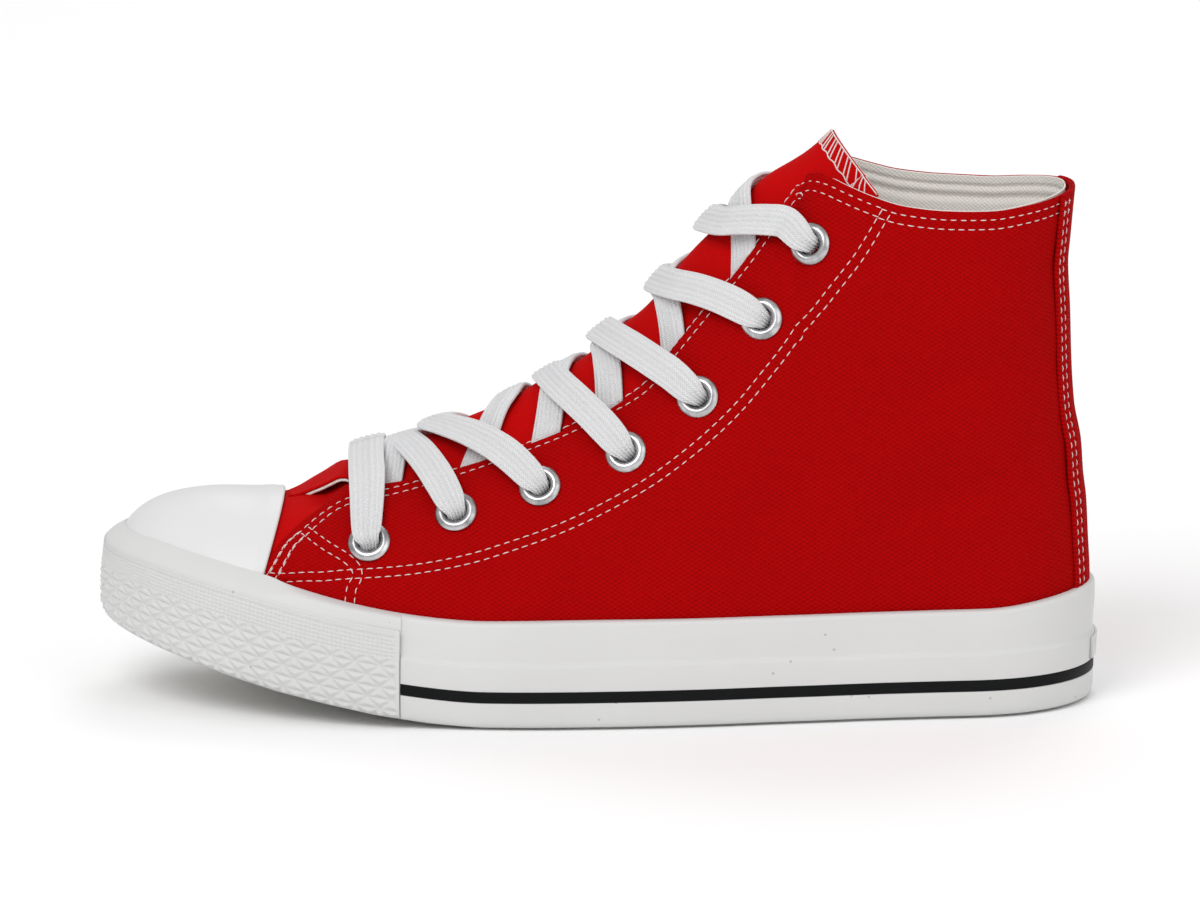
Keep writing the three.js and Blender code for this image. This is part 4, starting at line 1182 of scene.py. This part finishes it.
def skin_reach(around):
    """How far the canvas lies out from the feather line at some heights."""
    heights = np.arange(PLATFORM, SIDEWALL_HEIGHT + PLATFORM - 0.5, 1.5)
    base = around["here"][:, None, :]
    out = around["out"][:, None, :]
    z = underside(around["s"])[:, None] + heights[None]

    def inside(d):
        return is_inside(base[..., 0] + out[..., 0] * d, base[..., 1] + out[..., 1] * d, z)

    reach = np.maximum(-30, turning_point(-40, 6, inside, z.shape))
    reach[:, 0] = 0
    return heights, reach


def wrap(around, rows):
    """Points of a profile carried round. rows are pairs of height and distance out."""
    heights, reach = skin_reach(around)
    slope = np.gradient(reach, heights, axis=1)
    s = around["s"]
    columns = []
    for height, out in rows:
        height, out = np.broadcast_to(height, s.shape), np.broadcast_to(out, s.shape)
        offset = np.array([np.interp(h, heights, r) for h, r in zip(height, reach)])
        lean = np.array([np.interp(h, heights, r) for h, r in zip(height, slope)])
        far = offset + out * np.where(height > PLATFORM, np.hypot(1, lean), 1)
        point = around["here"] + around["out"] * far[:, None]
        point[:, 2] = underside(s) + height
        columns.append(point)
    return np.stack(columns, 1)


def rounded(profile, radius, arc=4):
    """A closed profile with its corners rounded by short arcs."""
    shape_of = np.broadcast_shapes(*(np.shape(v) for pair in profile for v in pair))
    rows = [np.stack([np.broadcast_to(v, shape_of) for v in pair], -1) for pair in profile]
    made = []
    for i, corner in enumerate(rows):
        before, after = rows[i - 1] - corner, rows[(i + 1) % len(rows)] - corner
        reach = radius[i] if isinstance(radius, list) else radius
        ends = []
        for toward in (before, after):
            length = np.linalg.norm(toward, axis=-1, keepdims=True)
            ends.append(corner + toward / np.maximum(length, 1e-6) * np.minimum(reach, length * 0.45))
        for q in np.linspace(0, 1, arc):
            point = ends[0] * (1 - q) ** 2 + 2 * corner * q * (1 - q) + ends[1] * q**2
            made.append((point[..., 0], point[..., 1]))
    return made


def ring_faces(stations, rows, closed):
    faces = []
    last = stations if closed else stations - 1
    for i in range(last):
        a, b = i * rows, ((i + 1) % stations) * rows
        faces += [[a + j, a + (j + 1) % rows, b + (j + 1) % rows, b + j] for j in range(rows)]
    if not closed:
        faces.append(list(range(rows))[::-1])
        faces.append([(stations - 1) * rows + j for j in range(rows)])
    return faces


def strip_piece(name, points, closed, material, replaces):
    stations, rows = points.shape[:2]
    flat = points.reshape(-1, 3)
    faces = ring_faces(stations, rows, closed)
    length = np.cumsum(np.linalg.norm(np.diff(points[:, 0], axis=0, prepend=points[:1, 0]), axis=1))
    uv = np.stack([np.repeat(length, rows), flat[:, 2]], -1)
    piece = mesh_piece(name, flat, faces, material, replaces, uv)
    face_up(piece)


def face_up(piece):
    """Turns a closed mesh's faces outward."""
    mesh = piece.data
    mesh.calc_loop_triangles()
    co = np.array([v.co for v in mesh.vertices])
    tri = np.array([t.vertices for t in mesh.loop_triangles])
    a, b, c = co[tri[:, 0]], co[tri[:, 1]], co[tri[:, 2]]
    if np.einsum("ij,ij->i", a, np.cross(b, c)).sum() < 0:
        mesh.flip_normals()


CAP_CLIMB = 0.9


def cap_room(s):
    return CAP_STACK * (1 - ease(CAP_ROOM[0], CAP_ROOM[1], s))


ROUND = outline(330)


def foxing():
    around = outline(250)
    s = around["s"]
    hug = cap_room(s) / CAP_STACK
    top = wall_height_at(s) + CAP_CLIMB * hug
    inner = RUBBER_GAP + cap_room(s)
    plain = s < BUMPER_REACH
    recess = RUBBER_GAP + BUMPER_THICKNESS - BUMPER_PROUD
    outer = wall_out_at(s) - np.where(plain, recess, 0)
    groove = outer - np.where(plain, 0, STRIPE_THICKNESS - STRIPE_PROUD + GAP)
    upper_face = outer - np.where(plain, 0, STEP_DEPTH)
    x = around["here"][:, 0]
    waver = 0.15 * np.sin(x * 0.06 + 0.5) + 0.1 * np.sin(x * 0.17)
    stripe_low = STRIPE_FROM - 0.05
    stripe_high = STRIPE_FROM + STRIPE_HEIGHT + 0.05
    bumper_top = BUMPER_HEIGHT * wall_height_at(s) / SIDEWALL_HEIGHT
    lip = mix(inner + LIP_THICKNESS * 0.8, CAP_STACK + 0.08, hug)
    swollen = wall_out_at(s) + (BUMPER_PROUD - 0.3) * (1 - ease(0.2, BUMPER_REACH - 0.001, s))
    shoulder = np.where(plain, swollen, upper_face)
    profile = [
        (SIDEWALL_CLEAR, inner),
        (SIDEWALL_CLEAR, outer - 0.1),
        (stripe_low, outer),
        (stripe_low, groove),
        (stripe_high, groove),
        (stripe_high, outer),
        (STEP_HEIGHT - STEP_DEPTH + waver, outer),
        (STEP_HEIGHT + waver, upper_face),
        (bumper_top - 1.6, upper_face),
        (bumper_top - 0.8, shoulder),
        (mix(bumper_top, top, mix(0.35, 0.05, hug)), shoulder - 0.12),
        (mix(bumper_top, top, mix(0.9, 0.55, hug)), mix(shoulder - 0.2, mix(shoulder, lip, 0.42), hug)),
        (top, lip),
        (top, mix(inner - 0.25, CAP_STACK + 0.02, hug)),
        (top * 0.82, inner),
        (PLATFORM, inner),
    ]
    radius = [0.5, SIDEWALL_CORNER, 0.25, 0.1, 0.1, 0.25, 0.5, 0.6, 0.3, 0.3, 1.4, 1.6, 0.4, 0.2, 2.0, 0.5]
    points = wrap(around, rounded(profile, radius, 5))
    strip_piece("sidewall", points, True, wall_white, ["foxing"])


def pinstripe():
    band = part_of(ROUND, ROUND["s"] >= BUMPER_REACH + BUMPER_ROOM)
    face = wall_out_at(band["s"]) + STRIPE_PROUD
    low, high = STRIPE_FROM, STRIPE_FROM + STRIPE_HEIGHT
    profile = [(low, face - STRIPE_THICKNESS), (low, face), (high, face), (high, face - STRIPE_THICKNESS)]
    points = wrap(band, rounded(profile, 0.25))
    strip_piece("stripe", points, False, stripe_black, ["pinstripe"])


# The bumper's relief: pyramids between three sets of lines, a knurl above, and fine ribs.
PYRAMID_WIDTH = 6.9
PYRAMID_ROW = 3.1
PYRAMID_TOP = 17.6
PYRAMID_FLAT = 1.1
PYRAMID_SLOPE = 0.72
PYRAMID_SUNK = 0.6
KNURL = (1.28, 1.12)
KNURL_RISE = 0.46
KNURL_SUNK = 0.36
RELIEF_STEP = (KNURL[0] / 4, KNURL[1] / 4)
KNURL_TOP = 24.6
RIB_PITCH = 0.8
RIB_RISE = 0.12


def bumper_relief(length, height):
    slant_run = np.hypot(PYRAMID_WIDTH / 2, PYRAMID_ROW)
    grid = PYRAMID_ROW * PYRAMID_WIDTH / slant_run

    def gap_to(value, spacing):
        return np.abs((value / spacing + 0.5) % 1 - 0.5) * spacing

    lines = gap_to(height, PYRAMID_ROW)
    for lean in (-1, 1):
        across = (PYRAMID_ROW * length + lean * PYRAMID_WIDTH / 2 * height) / slant_run
        lines = np.minimum(lines, gap_to(across, grid))
    def wave(value, pitch):
        return 0.5 + 0.5 * np.cos(2 * np.pi * value / pitch)

    pyramids = np.minimum(lines, PYRAMID_FLAT) * PYRAMID_SLOPE - PYRAMID_SUNK
    dots = KNURL_RISE * wave(length, KNURL[0]) * wave(height, KNURL[1]) - KNURL_SUNK
    ribs = RIB_RISE * (np.sin(2 * np.pi * height / RIB_PITCH) - 1)
    above = ease(PYRAMID_TOP - 0.1, PYRAMID_TOP + 0.3, height)
    ribbed = ease(KNURL_TOP - 0.1, KNURL_TOP + 0.3, height)
    return mix(mix(pyramids, dots, above), ribs, ribbed)


def bumper():
    chosen = ROUND["s"] <= BUMPER_REACH - BUMPER_ROOM
    band = part_of(ROUND, chosen, -int(np.argmax(~chosen)))
    base = wrap(band, [(PLATFORM, wall_out_at(band["s"]) + BUMPER_PROUD)])[:, 0]
    index = even_steps(base, RELIEF_STEP[0])
    band = {key: at_index(value.astype(float), index) for key, value in band.items()}
    band["out"] = unit(band["out"])
    s = band["s"]
    outer = wall_out_at(s) + BUMPER_PROUD
    inner = outer - BUMPER_THICKNESS
    length = np.arange(len(s)) * RELIEF_STEP[0]
    scale = wall_height_at(s) / SIDEWALL_HEIGHT
    low, high = SIDEWALL_CLEAR + 0.4, BUMPER_HEIGHT
    rows = [(low * np.ones_like(s), inner)]
    for height in np.append(np.arange(low, high, RELIEF_STEP[1]), high):
        corner = np.clip((SIDEWALL_CORNER + low - height) / SIDEWALL_CORNER, 0, 1)
        tuck = SIDEWALL_CORNER * 0.6 * (1 - np.sqrt(1 - corner**2 * 0.96))
        cover = 0.2 * np.clip((height - (high - 0.6)) / 0.6, 0, 1) ** 2
        relief = bumper_relief(length, height)
        ends = np.minimum(length, length[-1] - length)
        lifted = outer + mix(-0.15, relief, ease(0.4, 1.6, ends)) - tuck - cover
        rows.append((height * mix(1, scale, height / high), lifted))
    for height in (high, STEP_HEIGHT, PLATFORM):
        rows.append((height * mix(1, scale, height / high), inner))
    strip_piece("toe_band", wrap(band, rows), False, bumper_white, ["toe_bumper"])


def heel_tab():
    band = part_of(ROUND, ROUND["s"] >= 1 - back_reach(PATCH_WIDTH, 0))
    face = wall_out_at(band["s"]) + 0.05
    low, high = STRIPE_FROM + STRIPE_HEIGHT + 2 * GAP, STEP_HEIGHT - STEP_DEPTH - GAP
    profile = [(low, face), (low, face + PATCH_THICKNESS), (high, face + PATCH_THICKNESS), (high, face)]
    points = wrap(band, rounded(profile, [0.1, 0.45, 0.45, 0.1], 6))
    strip_piece("heel_tab", points, False, bumper_white, ["heel_patch"])


foxing()
pinstripe()
bumper()
heel_tab()


# Insole.
HEEL_CUP = 1.2


def insole():
    around = outline(160)
    count = len(around["s"])
    rim = around["here"] - around["out"] * (WALL + 2 * GAP)
    centre = rim.copy()
    centre[:, 1] = centre_at(around["s"])
    top = PLATFORM + INSOLE_THICKNESS
    rings = [(1, PLATFORM + 0.4), (1, top - 0.9), (0.985, top)]
    rings += [(share, top) for share in np.linspace(0.9, 0.0, 12)]
    points = []
    for share, height in rings:
        point = mix(centre, rim, share)
        cup = (1 - share**2) * HEEL_CUP * ease(0.75, 0.95, around["s"])
        point[:, 2] = underside(around["s"]) + height - cup
        points.append(point)
    grid = np.stack(points, 1)
    rows = len(rings)
    faces = []
    for i in range(count):
        a, b = i * rows, ((i + 1) % count) * rows
        faces += [[a + j, b + j, b + j + 1, a + j + 1] for j in range(rows - 1)]
    faces.append([i * rows for i in range(count)][::-1])
    joined, (uv,), welded = weld(grid.reshape(-1, 3), [grid[:, :, :2].reshape(-1, 2)], faces)
    face_up(mesh_piece("footbed", joined, welded, insole_cloth, ["insole"], uv))


insole()


# Tongue.
def ridge(s, rise=0.0):
    nearby = 0.002

    def top(share):
        return np.stack(
            [LAST_X + share * LAST_LENGTH, 0 * share, feather_line(share) + spine_at(share)], -1
        )

    along = unit(top(s) - top(s - nearby))
    out = np.stack([-along[..., 2], 0 * s, along[..., 0]], -1)
    return top(s) + along * np.asarray(rise)[..., None] + out * TONGUE_PROUD, out


def depth_below(s, y):
    here, out = ridge(s)

    def outside(d):
        return ~is_inside(here[..., 0] - out[..., 0] * d, y, here[..., 2] - out[..., 2] * d)

    return turning_point(-4, 60, outside, np.shape(y), 30)


def tongue():
    along = np.linspace(TONGUE_FROM, COLLAR_FROM, 110)
    past = np.linspace(0, TONGUE_RISE, 22)[1:]
    s = np.append(along, np.full(len(past), COLLAR_FROM))
    rise = np.append(np.zeros(len(along)), past)
    v = np.linspace(-1, 1, 65)
    s_grid, v_grid = np.meshgrid(s, v, indexing="ij")
    rise_grid = rise[:, None] * (1 - TONGUE_FAR_DROP * np.clip(v, 0, 1))
    held = np.minimum(s_grid, TONGUE_HOLD)
    lean = (ridge_at(held) - centre_at(held)) / half_at(held)
    y = ridge_at(held) + v_grid * tongue_half_at(s_grid) * (1 - np.sign(v_grid) * lean)
    here, out = ridge(s_grid, rise_grid)
    above = 1 - ease(TONGUE_DIVE[0], TONGUE_DIVE[1], s_grid)
    open_share = np.clip(np.abs(y - ridge_at(held)) / np.maximum(edge_half(held), 1e-6), 0, 1)
    raised = np.cos(np.pi / 2 * open_share) ** 2
    slant = np.hypot(1, depth_below(held, y + 0.5) - depth_below(held, y - 0.5))
    sunk = (WALL + TONGUE_GAP) * slant
    back = TONGUE_LEAN * ease(TONGUE_TURN[0], TONGUE_TURN[1], s_grid + rise_grid / LAST_LENGTH)
    under = mix(sunk, back - TONGUE_PROUD, mix(raised, 1, above))
    front = ease(TONGUE_FROM, TONGUE_FROM + TONGUE_TIP, s_grid)
    dip = (depth_below(held, y) - TONGUE_PROUD) * (1 - TONGUE_FLAT * above * front)
    depth = TONGUE_PROUD + dip + under + above * mix(TONGUE_TIP_SAG, TONGUE_SAG, front)
    base = np.stack([here[..., 0] - out[..., 0] * depth, y, here[..., 2] - out[..., 2] * depth], -1)
    normal = unit(np.cross(np.gradient(base, axis=0), np.gradient(base, axis=1)))
    length = travelled(base[:, len(v) // 2])
    uv = np.stack([np.repeat(length[:, None], len(v), 1), y], -1).reshape(-1, 2)
    waves = np.sin(base[..., 0] * 0.31) * np.sin(base[..., 1] * 0.22 + 0.6)
    soft = TONGUE_CRUMPLE * waves * (1 - v_grid**4)
    quads = grid_quads(len(s), len(v)).tolist()
    bend = soft.ravel()
    middle_depth = -TONGUE_THICKNESS / 2
    for name, high, low, material in (
        ("tongue_face", 0, middle_depth, fine_red),
        ("tongue_back", middle_depth - 0.05, -TONGUE_THICKNESS, lining_white),
    ):
        points, faces, rim = shell(
            base.reshape(-1, 3), normal.reshape(-1, 3), quads, high + bend, low + bend
        )
        mesh_piece(name, points, faces, material, ["tongue"], spread(uv, rim))
    return base, normal, soft


TONGUE_GRID, TONGUE_NORMAL, TONGUE_SOFT = tongue()


# Eyelets.
def eyelet(name, seat, out, node):
    bore, flange = EYELET_HOLE / 2, EYELET_OUTER / 2
    barrel = bore + EYELET_METAL
    inside = -WALL - 0.75
    profile = [
        (bore, inside), (bore, 0.2), (bore + 0.1, 0.62), (bore + 0.38, 1.0), (bore + 0.8, 1.26),
        (bore + 1.3, RING_TOP), (bore + 1.8, 1.2), (flange - 0.55, 0.86), (flange - 0.15, 0.5),
        (flange, 0.2), (flange - 0.1, -0.15), (barrel, -0.15),
        (barrel, -WALL - 0.36), (bore + 1.7, -WALL - 0.42), (bore + 1.75, -WALL - 0.6),
        (bore + 1.5, inside - 0.05), (bore + 0.5, inside - 0.2),
    ]
    across = unit(np.cross(out, np.array([0.0, 0.0, 1.0])))
    upward = np.cross(out, across)
    turns = 56
    rings = []
    for angle in np.linspace(0, 2 * math.pi, turns, endpoint=False):
        spoke = across * math.cos(angle) + upward * math.sin(angle)
        rings += [seat + spoke * r + out * h for r, h in profile]
    faces = ring_faces(turns, len(profile), True)
    face_up(mesh_piece(name, rings, faces, metal, [node]))


RING_TOP = 1.33
for _name, _side in SIDES.items():
    for _k, (_seat, _out) in enumerate(SEATS[_side]):
        eyelet(f"ring_{_name}_{_k + 1}", _seat, _out, f"eyelet_{_name}_{_k + 1}")


# Laces: two halves of one lace, each from the middle of the bar to a top eyelet.
HALF_LACE = LACE_THICKNESS / 2
# Where each pass leaves its flap and meets the ridge, as shares of the last's length. The
# low passes start at the outer flap, and the high ones stand above them. The bow says how
# late a pass turns down from the ridge.
CROSSINGS = table(
    "low_exit low_ridge high_exit high_ridge above bow",
    (0.277, 0.292, 0.285, 0.297, 0.5, 1.9),
    (0.366, 0.408, 0.375, 0.333, 2.2, 1.8),
    (0.44, 0.464, 0.452, 0.452, 1.0, 1.25),
    (0.507, 0.512, 0.517, 0.513, 2.8, 1.3),
    (0.572, 0.575, 0.587, 0.572, 2.2, 1.12),
    (0.6439, 0.655, 0.645, 0.625, 3.0, 1.05),
)


def over_crown(x, y, level):
    """A place of the lace's middle at a level above the closed foot, with its normal."""
    normal = crown_normal(x, y)
    base = np.array([x, y, float(crown_height(x, y))])
    return base + normal * level, normal


def crossing(k, side, high):
    """Controls of a pass from one flap's edge over the ridge to the next eyelet opposite."""
    word = "high" if high else "low"
    leave, meet = CROSSINGS[f"{word}_exit"][k], CROSSINGS[f"{word}_ridge"][k]
    rows = []
    for deeper, depth, wide, thick in ((0.06, 1.1, 0.85, 0.6), (0.004, 0.85, 0.9, 0.65)):
        rise = edge_rise(leave) - deeper
        out = outward(leave, rise, side)
        rows.append((surface(leave, rise, side) - out * (WALL + depth), out, wide, thick))
    start = surface(leave, edge_rise(leave), side)
    ridge_x, ridge_y = LAST_X + meet * LAST_LENGTH, ridge_at(meet) + side
    crown_level = TONGUE_PROUD + HALF_LACE + (CROSSINGS["above"][k] if high else 0.35)
    for share in (0.35, 0.7):
        x, y = mix(start[0], ridge_x, share), mix(start[1], ridge_y, share)
        tongue_level = mix(-WALL - TONGUE_GAP, TONGUE_PROUD, np.sin(np.pi / 2 * share) ** 2)
        level = mix(tongue_level + HALF_LACE + 0.4, crown_level, share**2 if high else 0)
        place, normal = over_crown(x, y, level)
        rows.append((place, normal, 0.92, 1.0))
    place, normal = over_crown(ridge_x, ridge_y, crown_level)
    rows.append((place, normal, 1.0, 1.0))
    at, up = EYELETS["at"][k + 1], EYELETS["up"][k + 1]
    for share in (0.16, 0.36, 0.58, 0.76):
        s, t = mix(meet, at, share), 1 - (1 - up) * share**CROSSINGS["bow"][k]
        level = mix(crown_level, RING_TOP + HALF_LACE + 0.3, share**0.8)
        out = outward(s, t, -side)
        rows.append((surface(s, t, -side) + out * level, out, 1.0, 1.0))
    seat, out = SEATS[-side][k + 1]
    return rows + plunge(seat, out, rows[-1][0])


def plunge(seat, out, start):
    """Controls of a lace that comes over an eyelet's rim and goes in through its hole."""
    travel = unit(seat - start)
    travel = unit(travel - out * (travel @ out))
    lip = seat - travel * 2.7 + out * (RING_TOP + HALF_LACE + 0.15)
    hole = seat - travel * 0.1 + out * 0.8
    deep = seat + travel * 0.2 - out * (WALL + 2.4)
    return [
        (lip, unit(out + travel * 0.2), 0.9, 1.15),
        (hole, unit(travel + out * 0.6), 0.62, 1.5),
        (deep, unit(travel - out * 0.2), 0.56, 1.3),
    ]


def bar_rows(side):
    seat, out = SEATS[side][0]
    other = SEATS[-side][0][0]
    rows = []
    for share in (0.5, 0.42, 0.32, 0.21):
        x, y = mix(seat[0], other[0], share), mix(seat[1], other[1], share)
        level = HALF_LACE + mix(1.5, TONGUE_PROUD + 1.6, min(1, share * 2.3))
        place, normal = over_crown(x, y, level)
        rows.append((place, normal, 1.12, 1.0))
    return rows + plunge(seat, out, other)


def lace_route(side):
    """Controls of a half lace, with its face turned over at each eyelet."""
    rows = bar_rows(side)
    here, sign = side, 1
    for k in range(len(CROSSINGS["bow"])):
        sign = -sign
        rows += [(p, n * sign, w, h) for p, n, w, h in crossing(k, here, here == MEDIAL)]
        here = -here
    return rows


def half_lace(name, side):
    """A flat ribbed lace along its route, with its uv in millimetres."""
    rows = lace_route(side)
    line, ups, dims = (smooth_line(column, 26) for column in zip(*[(p, n, (w, h)) for p, n, w, h in rows]))
    index = even_steps(line, LACE_STEP)
    line, ups, dims = at_index(line, index), at_index(ups, index), at_index(dims, index)
    angle = np.linspace(0, 2 * np.pi, 56, endpoint=False)
    across = np.sign(np.cos(angle)) * np.abs(np.cos(angle)) ** 0.8
    flat = np.sign(np.sin(angle)) * np.abs(np.sin(angle)) ** 0.55
    rib = 1 + 0.26 * np.cos(across * np.pi * RIBS) * (np.abs(across) < 0.93)
    wobble = 0.1 * np.sin(np.arange(len(line)) * 0.15)
    half_w = LACE_WIDTH / 2 * np.clip(dims[:, 0], 0.4, 1.2)
    half_h = HALF_LACE * np.clip(dims[:, 1], 0.4, 1.6)
    points = sweep(line, ups, across * half_w[:, None] + wobble[:, None], flat * rib * half_h[:, None])
    stations, size = points.shape[:2]
    length = np.arange(stations) * LACE_STEP
    uv = np.stack([np.tile(across * LACE_WIDTH / 2, stations), np.repeat(length, size)], -1)
    faces = ring_faces(stations, size, False)
    face_up(mesh_piece(name, points.reshape(-1, 3), faces, lace_white, LACE_NODES, uv))


LACE_STEP = 1.0
LACE_NODES = ["lace_bar"] + [f"lace_cross_{k + 1}" for k in range(len(CROSSINGS["bow"]))]
for _name, _side in SIDES.items():
    half_lace(f"lace_{_name}", _side)


# Stitches.
def stitches(name, rows, length=STITCH_LENGTH):
    """Short arched threads along rows of points with normals."""
    steps = 6
    arch = np.sin(np.linspace(0, math.pi, steps))
    rings = []
    for line, normals in rows:
        travel = travelled(line)
        spots = np.interp(even_steps(line, STITCH_PITCH), np.arange(len(line)), travel)
        for spot in spots[:-1]:
            reach = spot + STITCH_PITCH / 2 + np.linspace(-length / 2, length / 2, steps)
            here = np.interp(reach, travel, np.arange(len(line)))
            normal = unit(at_index(normals, here))
            level = STITCH_ARCH * arch + THREAD / 2 * (arch - 1) - 0.05
            centre = at_index(line, here) + normal * level[:, None]
            rings.append(round_sweep(centre, normal, THREAD / 2 * (0.45 + 0.55 * arch)))
    thread_piece(name, rings)


def canvas_rows(rows):
    """Rows laid on the cloth as it hangs."""
    made = []
    for line, normal in rows:
        s = np.clip((line[:, 0] - LAST_X) / LAST_LENGTH, 0, 1)
        side = np.where(line[:, 1] < ridge_at(s), LATERAL, MEDIAL)
        made.append((line + normal * (hang(line, s, side) - SUNK)[:, None], normal))
    return made


# Height of a stitch's arch, and how deep a row lies in the cloth.
STITCH_ARCH = 0.12
SUNK = 0.3
for _name, _side in SIDES.items():
    stitches(f"stitches_{_name}", canvas_rows(ROWS[_name]))
    _doubled = [seam_row(THROAT_SEAM[:4], _side, shift) for shift in (-0.35, ROW_GAP - 0.35)]
    stitches(f"stitches_front_{_name}", canvas_rows(_doubled), length=2.9)


def rim_row(rise):
    """A row across the backstay below its top, at a height of the last."""
    share = np.linspace(-0.95, 0.95, 160)
    s, side = backstay_station(share), np.where(share < 0, LATERAL, MEDIAL)
    return surface(s, rise, side), outward(s, rise, side)


_rim_rise = COLLAR_SEAM[0][1]
_rim_rows = [rim_row(_rim_rise), rim_row(_rim_rise - ROW_GAP / COLLAR_BACK_RISE)]
_level = GAP + BACKSTAY_THICKNESS - 0.2
stitches(
    "stitches_heel", [(line + normal * _level, normal) for line, normal in BACKSTAY_ROWS + _rim_rows]
)


# Overlock thread on the tongue's top edge.
def on_tongue(rows, columns, height):
    """Points over the tongue, at some rows and columns of its grid."""
    grid = TONGUE_GRID + TONGUE_NORMAL * (TONGUE_SOFT[..., None] + height)
    places = [at_index(at_index(grid, np.array([r]))[0], np.array([c]))[0] for r, c in zip(rows, columns)]
    return np.array(places)


def overlock():
    """Slanted pairs of threads, between a wavy thread below and a straight one on the edge."""
    top_row, last_column = TONGUE_GRID.shape[0] - 1, TONGUE_GRID.shape[1] - 1
    pairs, band = 13, 7.6
    share = np.linspace(0, 1, 9)
    lines = []
    for k in range(2 * pairs):
        spot = 4.0 + (last_column - 5) * (k // 2) / pairs + 1.7 * (k % 2)
        columns = np.clip(spot - 3.6 * share, 0, last_column)
        lines.append(on_tongue(top_row - band * share, columns, 0.12))
    columns = np.linspace(0, last_column, 90)
    wave = 0.35 * np.sin(np.arange(len(columns)) * 0.9)
    lines.append(on_tongue(top_row - band + wave, columns, 0.12))
    lines.append(on_tongue(np.full(len(columns), float(top_row)), columns, 0.2))
    thread_piece("tongue_overlock", [round_sweep(line, OFF_AXIS, 0.2) for line in lines])


# A direction that no thread of the overlock runs in.
OFF_AXIS = np.array([0.3, 0.9, 0.3])
overlock()


# Finishes of the solids that stay as they are.
for _node, _material in (("outsole", sole_white), ("midsole", sole_white)):
    _mesh = frame["nodes"][_node].data
    _mesh.materials.clear()
    _mesh.materials.append(_material)


# Floor, light and camera.
def floor():
    mesh = bpy.data.meshes.new("floor")
    size = 6.0
    mesh.from_pydata(
        [(-size, -size, 0), (size, -size, 0), (size, size, 0), (-size, size, 0)], [], [(0, 1, 2, 3)]
    )
    shader = Shader("floor_white", Roughness=0.9, Specular_IOR_Level=0.0)
    tone = shader.ramp(shader.noise(3, 2), 0.0, 1.0)
    shader.color(shader.blend(tone, (0.955, 0.955, 0.955, 1), (0.97, 0.97, 0.97, 1)))
    mesh.materials.append(shader.material)
    add_object("floor", mesh)


def area_light(name, place, target, size, power):
    data = bpy.data.lights.new(name, "AREA")
    data.shape, data.size, data.energy = "DISK", size, power
    lamp = add_object(name, data)
    lamp.location = place
    lamp.rotation_euler = (Vector(target) - Vector(place)).to_track_quat("-Z", "Y").to_euler()


def world():
    sky = bpy.data.worlds.new("studio")
    sky.use_nodes = True
    backdrop = sky.node_tree.nodes["Background"]
    backdrop.inputs["Color"].default_value = (1, 1, 1, 1)
    backdrop.inputs["Strength"].default_value = 0.66
    bpy.context.scene.world = sky


CAMERA_DISTANCE = 4.0
CAMERA_ELEVATION = math.radians(12.3)
PHOTO_SCALE = 3.633  # pixels of the photograph for a millimetre at the shoe
PHOTO_WIDTH = 1200
AIM = np.array([0.41, 0.0, 64.96])


def camera():
    data = bpy.data.cameras.new("camera")
    data.sensor_width = 36.0
    data.lens = data.sensor_width * CAMERA_DISTANCE / (PHOTO_WIDTH / PHOTO_SCALE * MM)
    data.clip_start, data.clip_end = 0.5, 60.0
    eye = add_object("camera", data)
    back = Vector((0.0, -math.cos(CAMERA_ELEVATION), math.sin(CAMERA_ELEVATION)))
    target = Vector(((AIM + SHIFT) * MM).tolist())
    eye.location = target + back * CAMERA_DISTANCE
    eye.rotation_euler = (-back).to_track_quat("-Z", "Y").to_euler()
    bpy.context.scene.camera = eye


floor()
world()
area_light("key", (-0.7, -1.3, 1.5), (0, 0, 0.06), 1.2, 17)
area_light("fill", (1.2, -1.2, 0.9), (0, 0, 0.06), 1.4, 5)
area_light("back", (0.3, 1.3, 1.3), (0, 0, 0.08), 1.2, 7)
camera()
bpy.context.scene.view_settings.view_transform = "Standard"
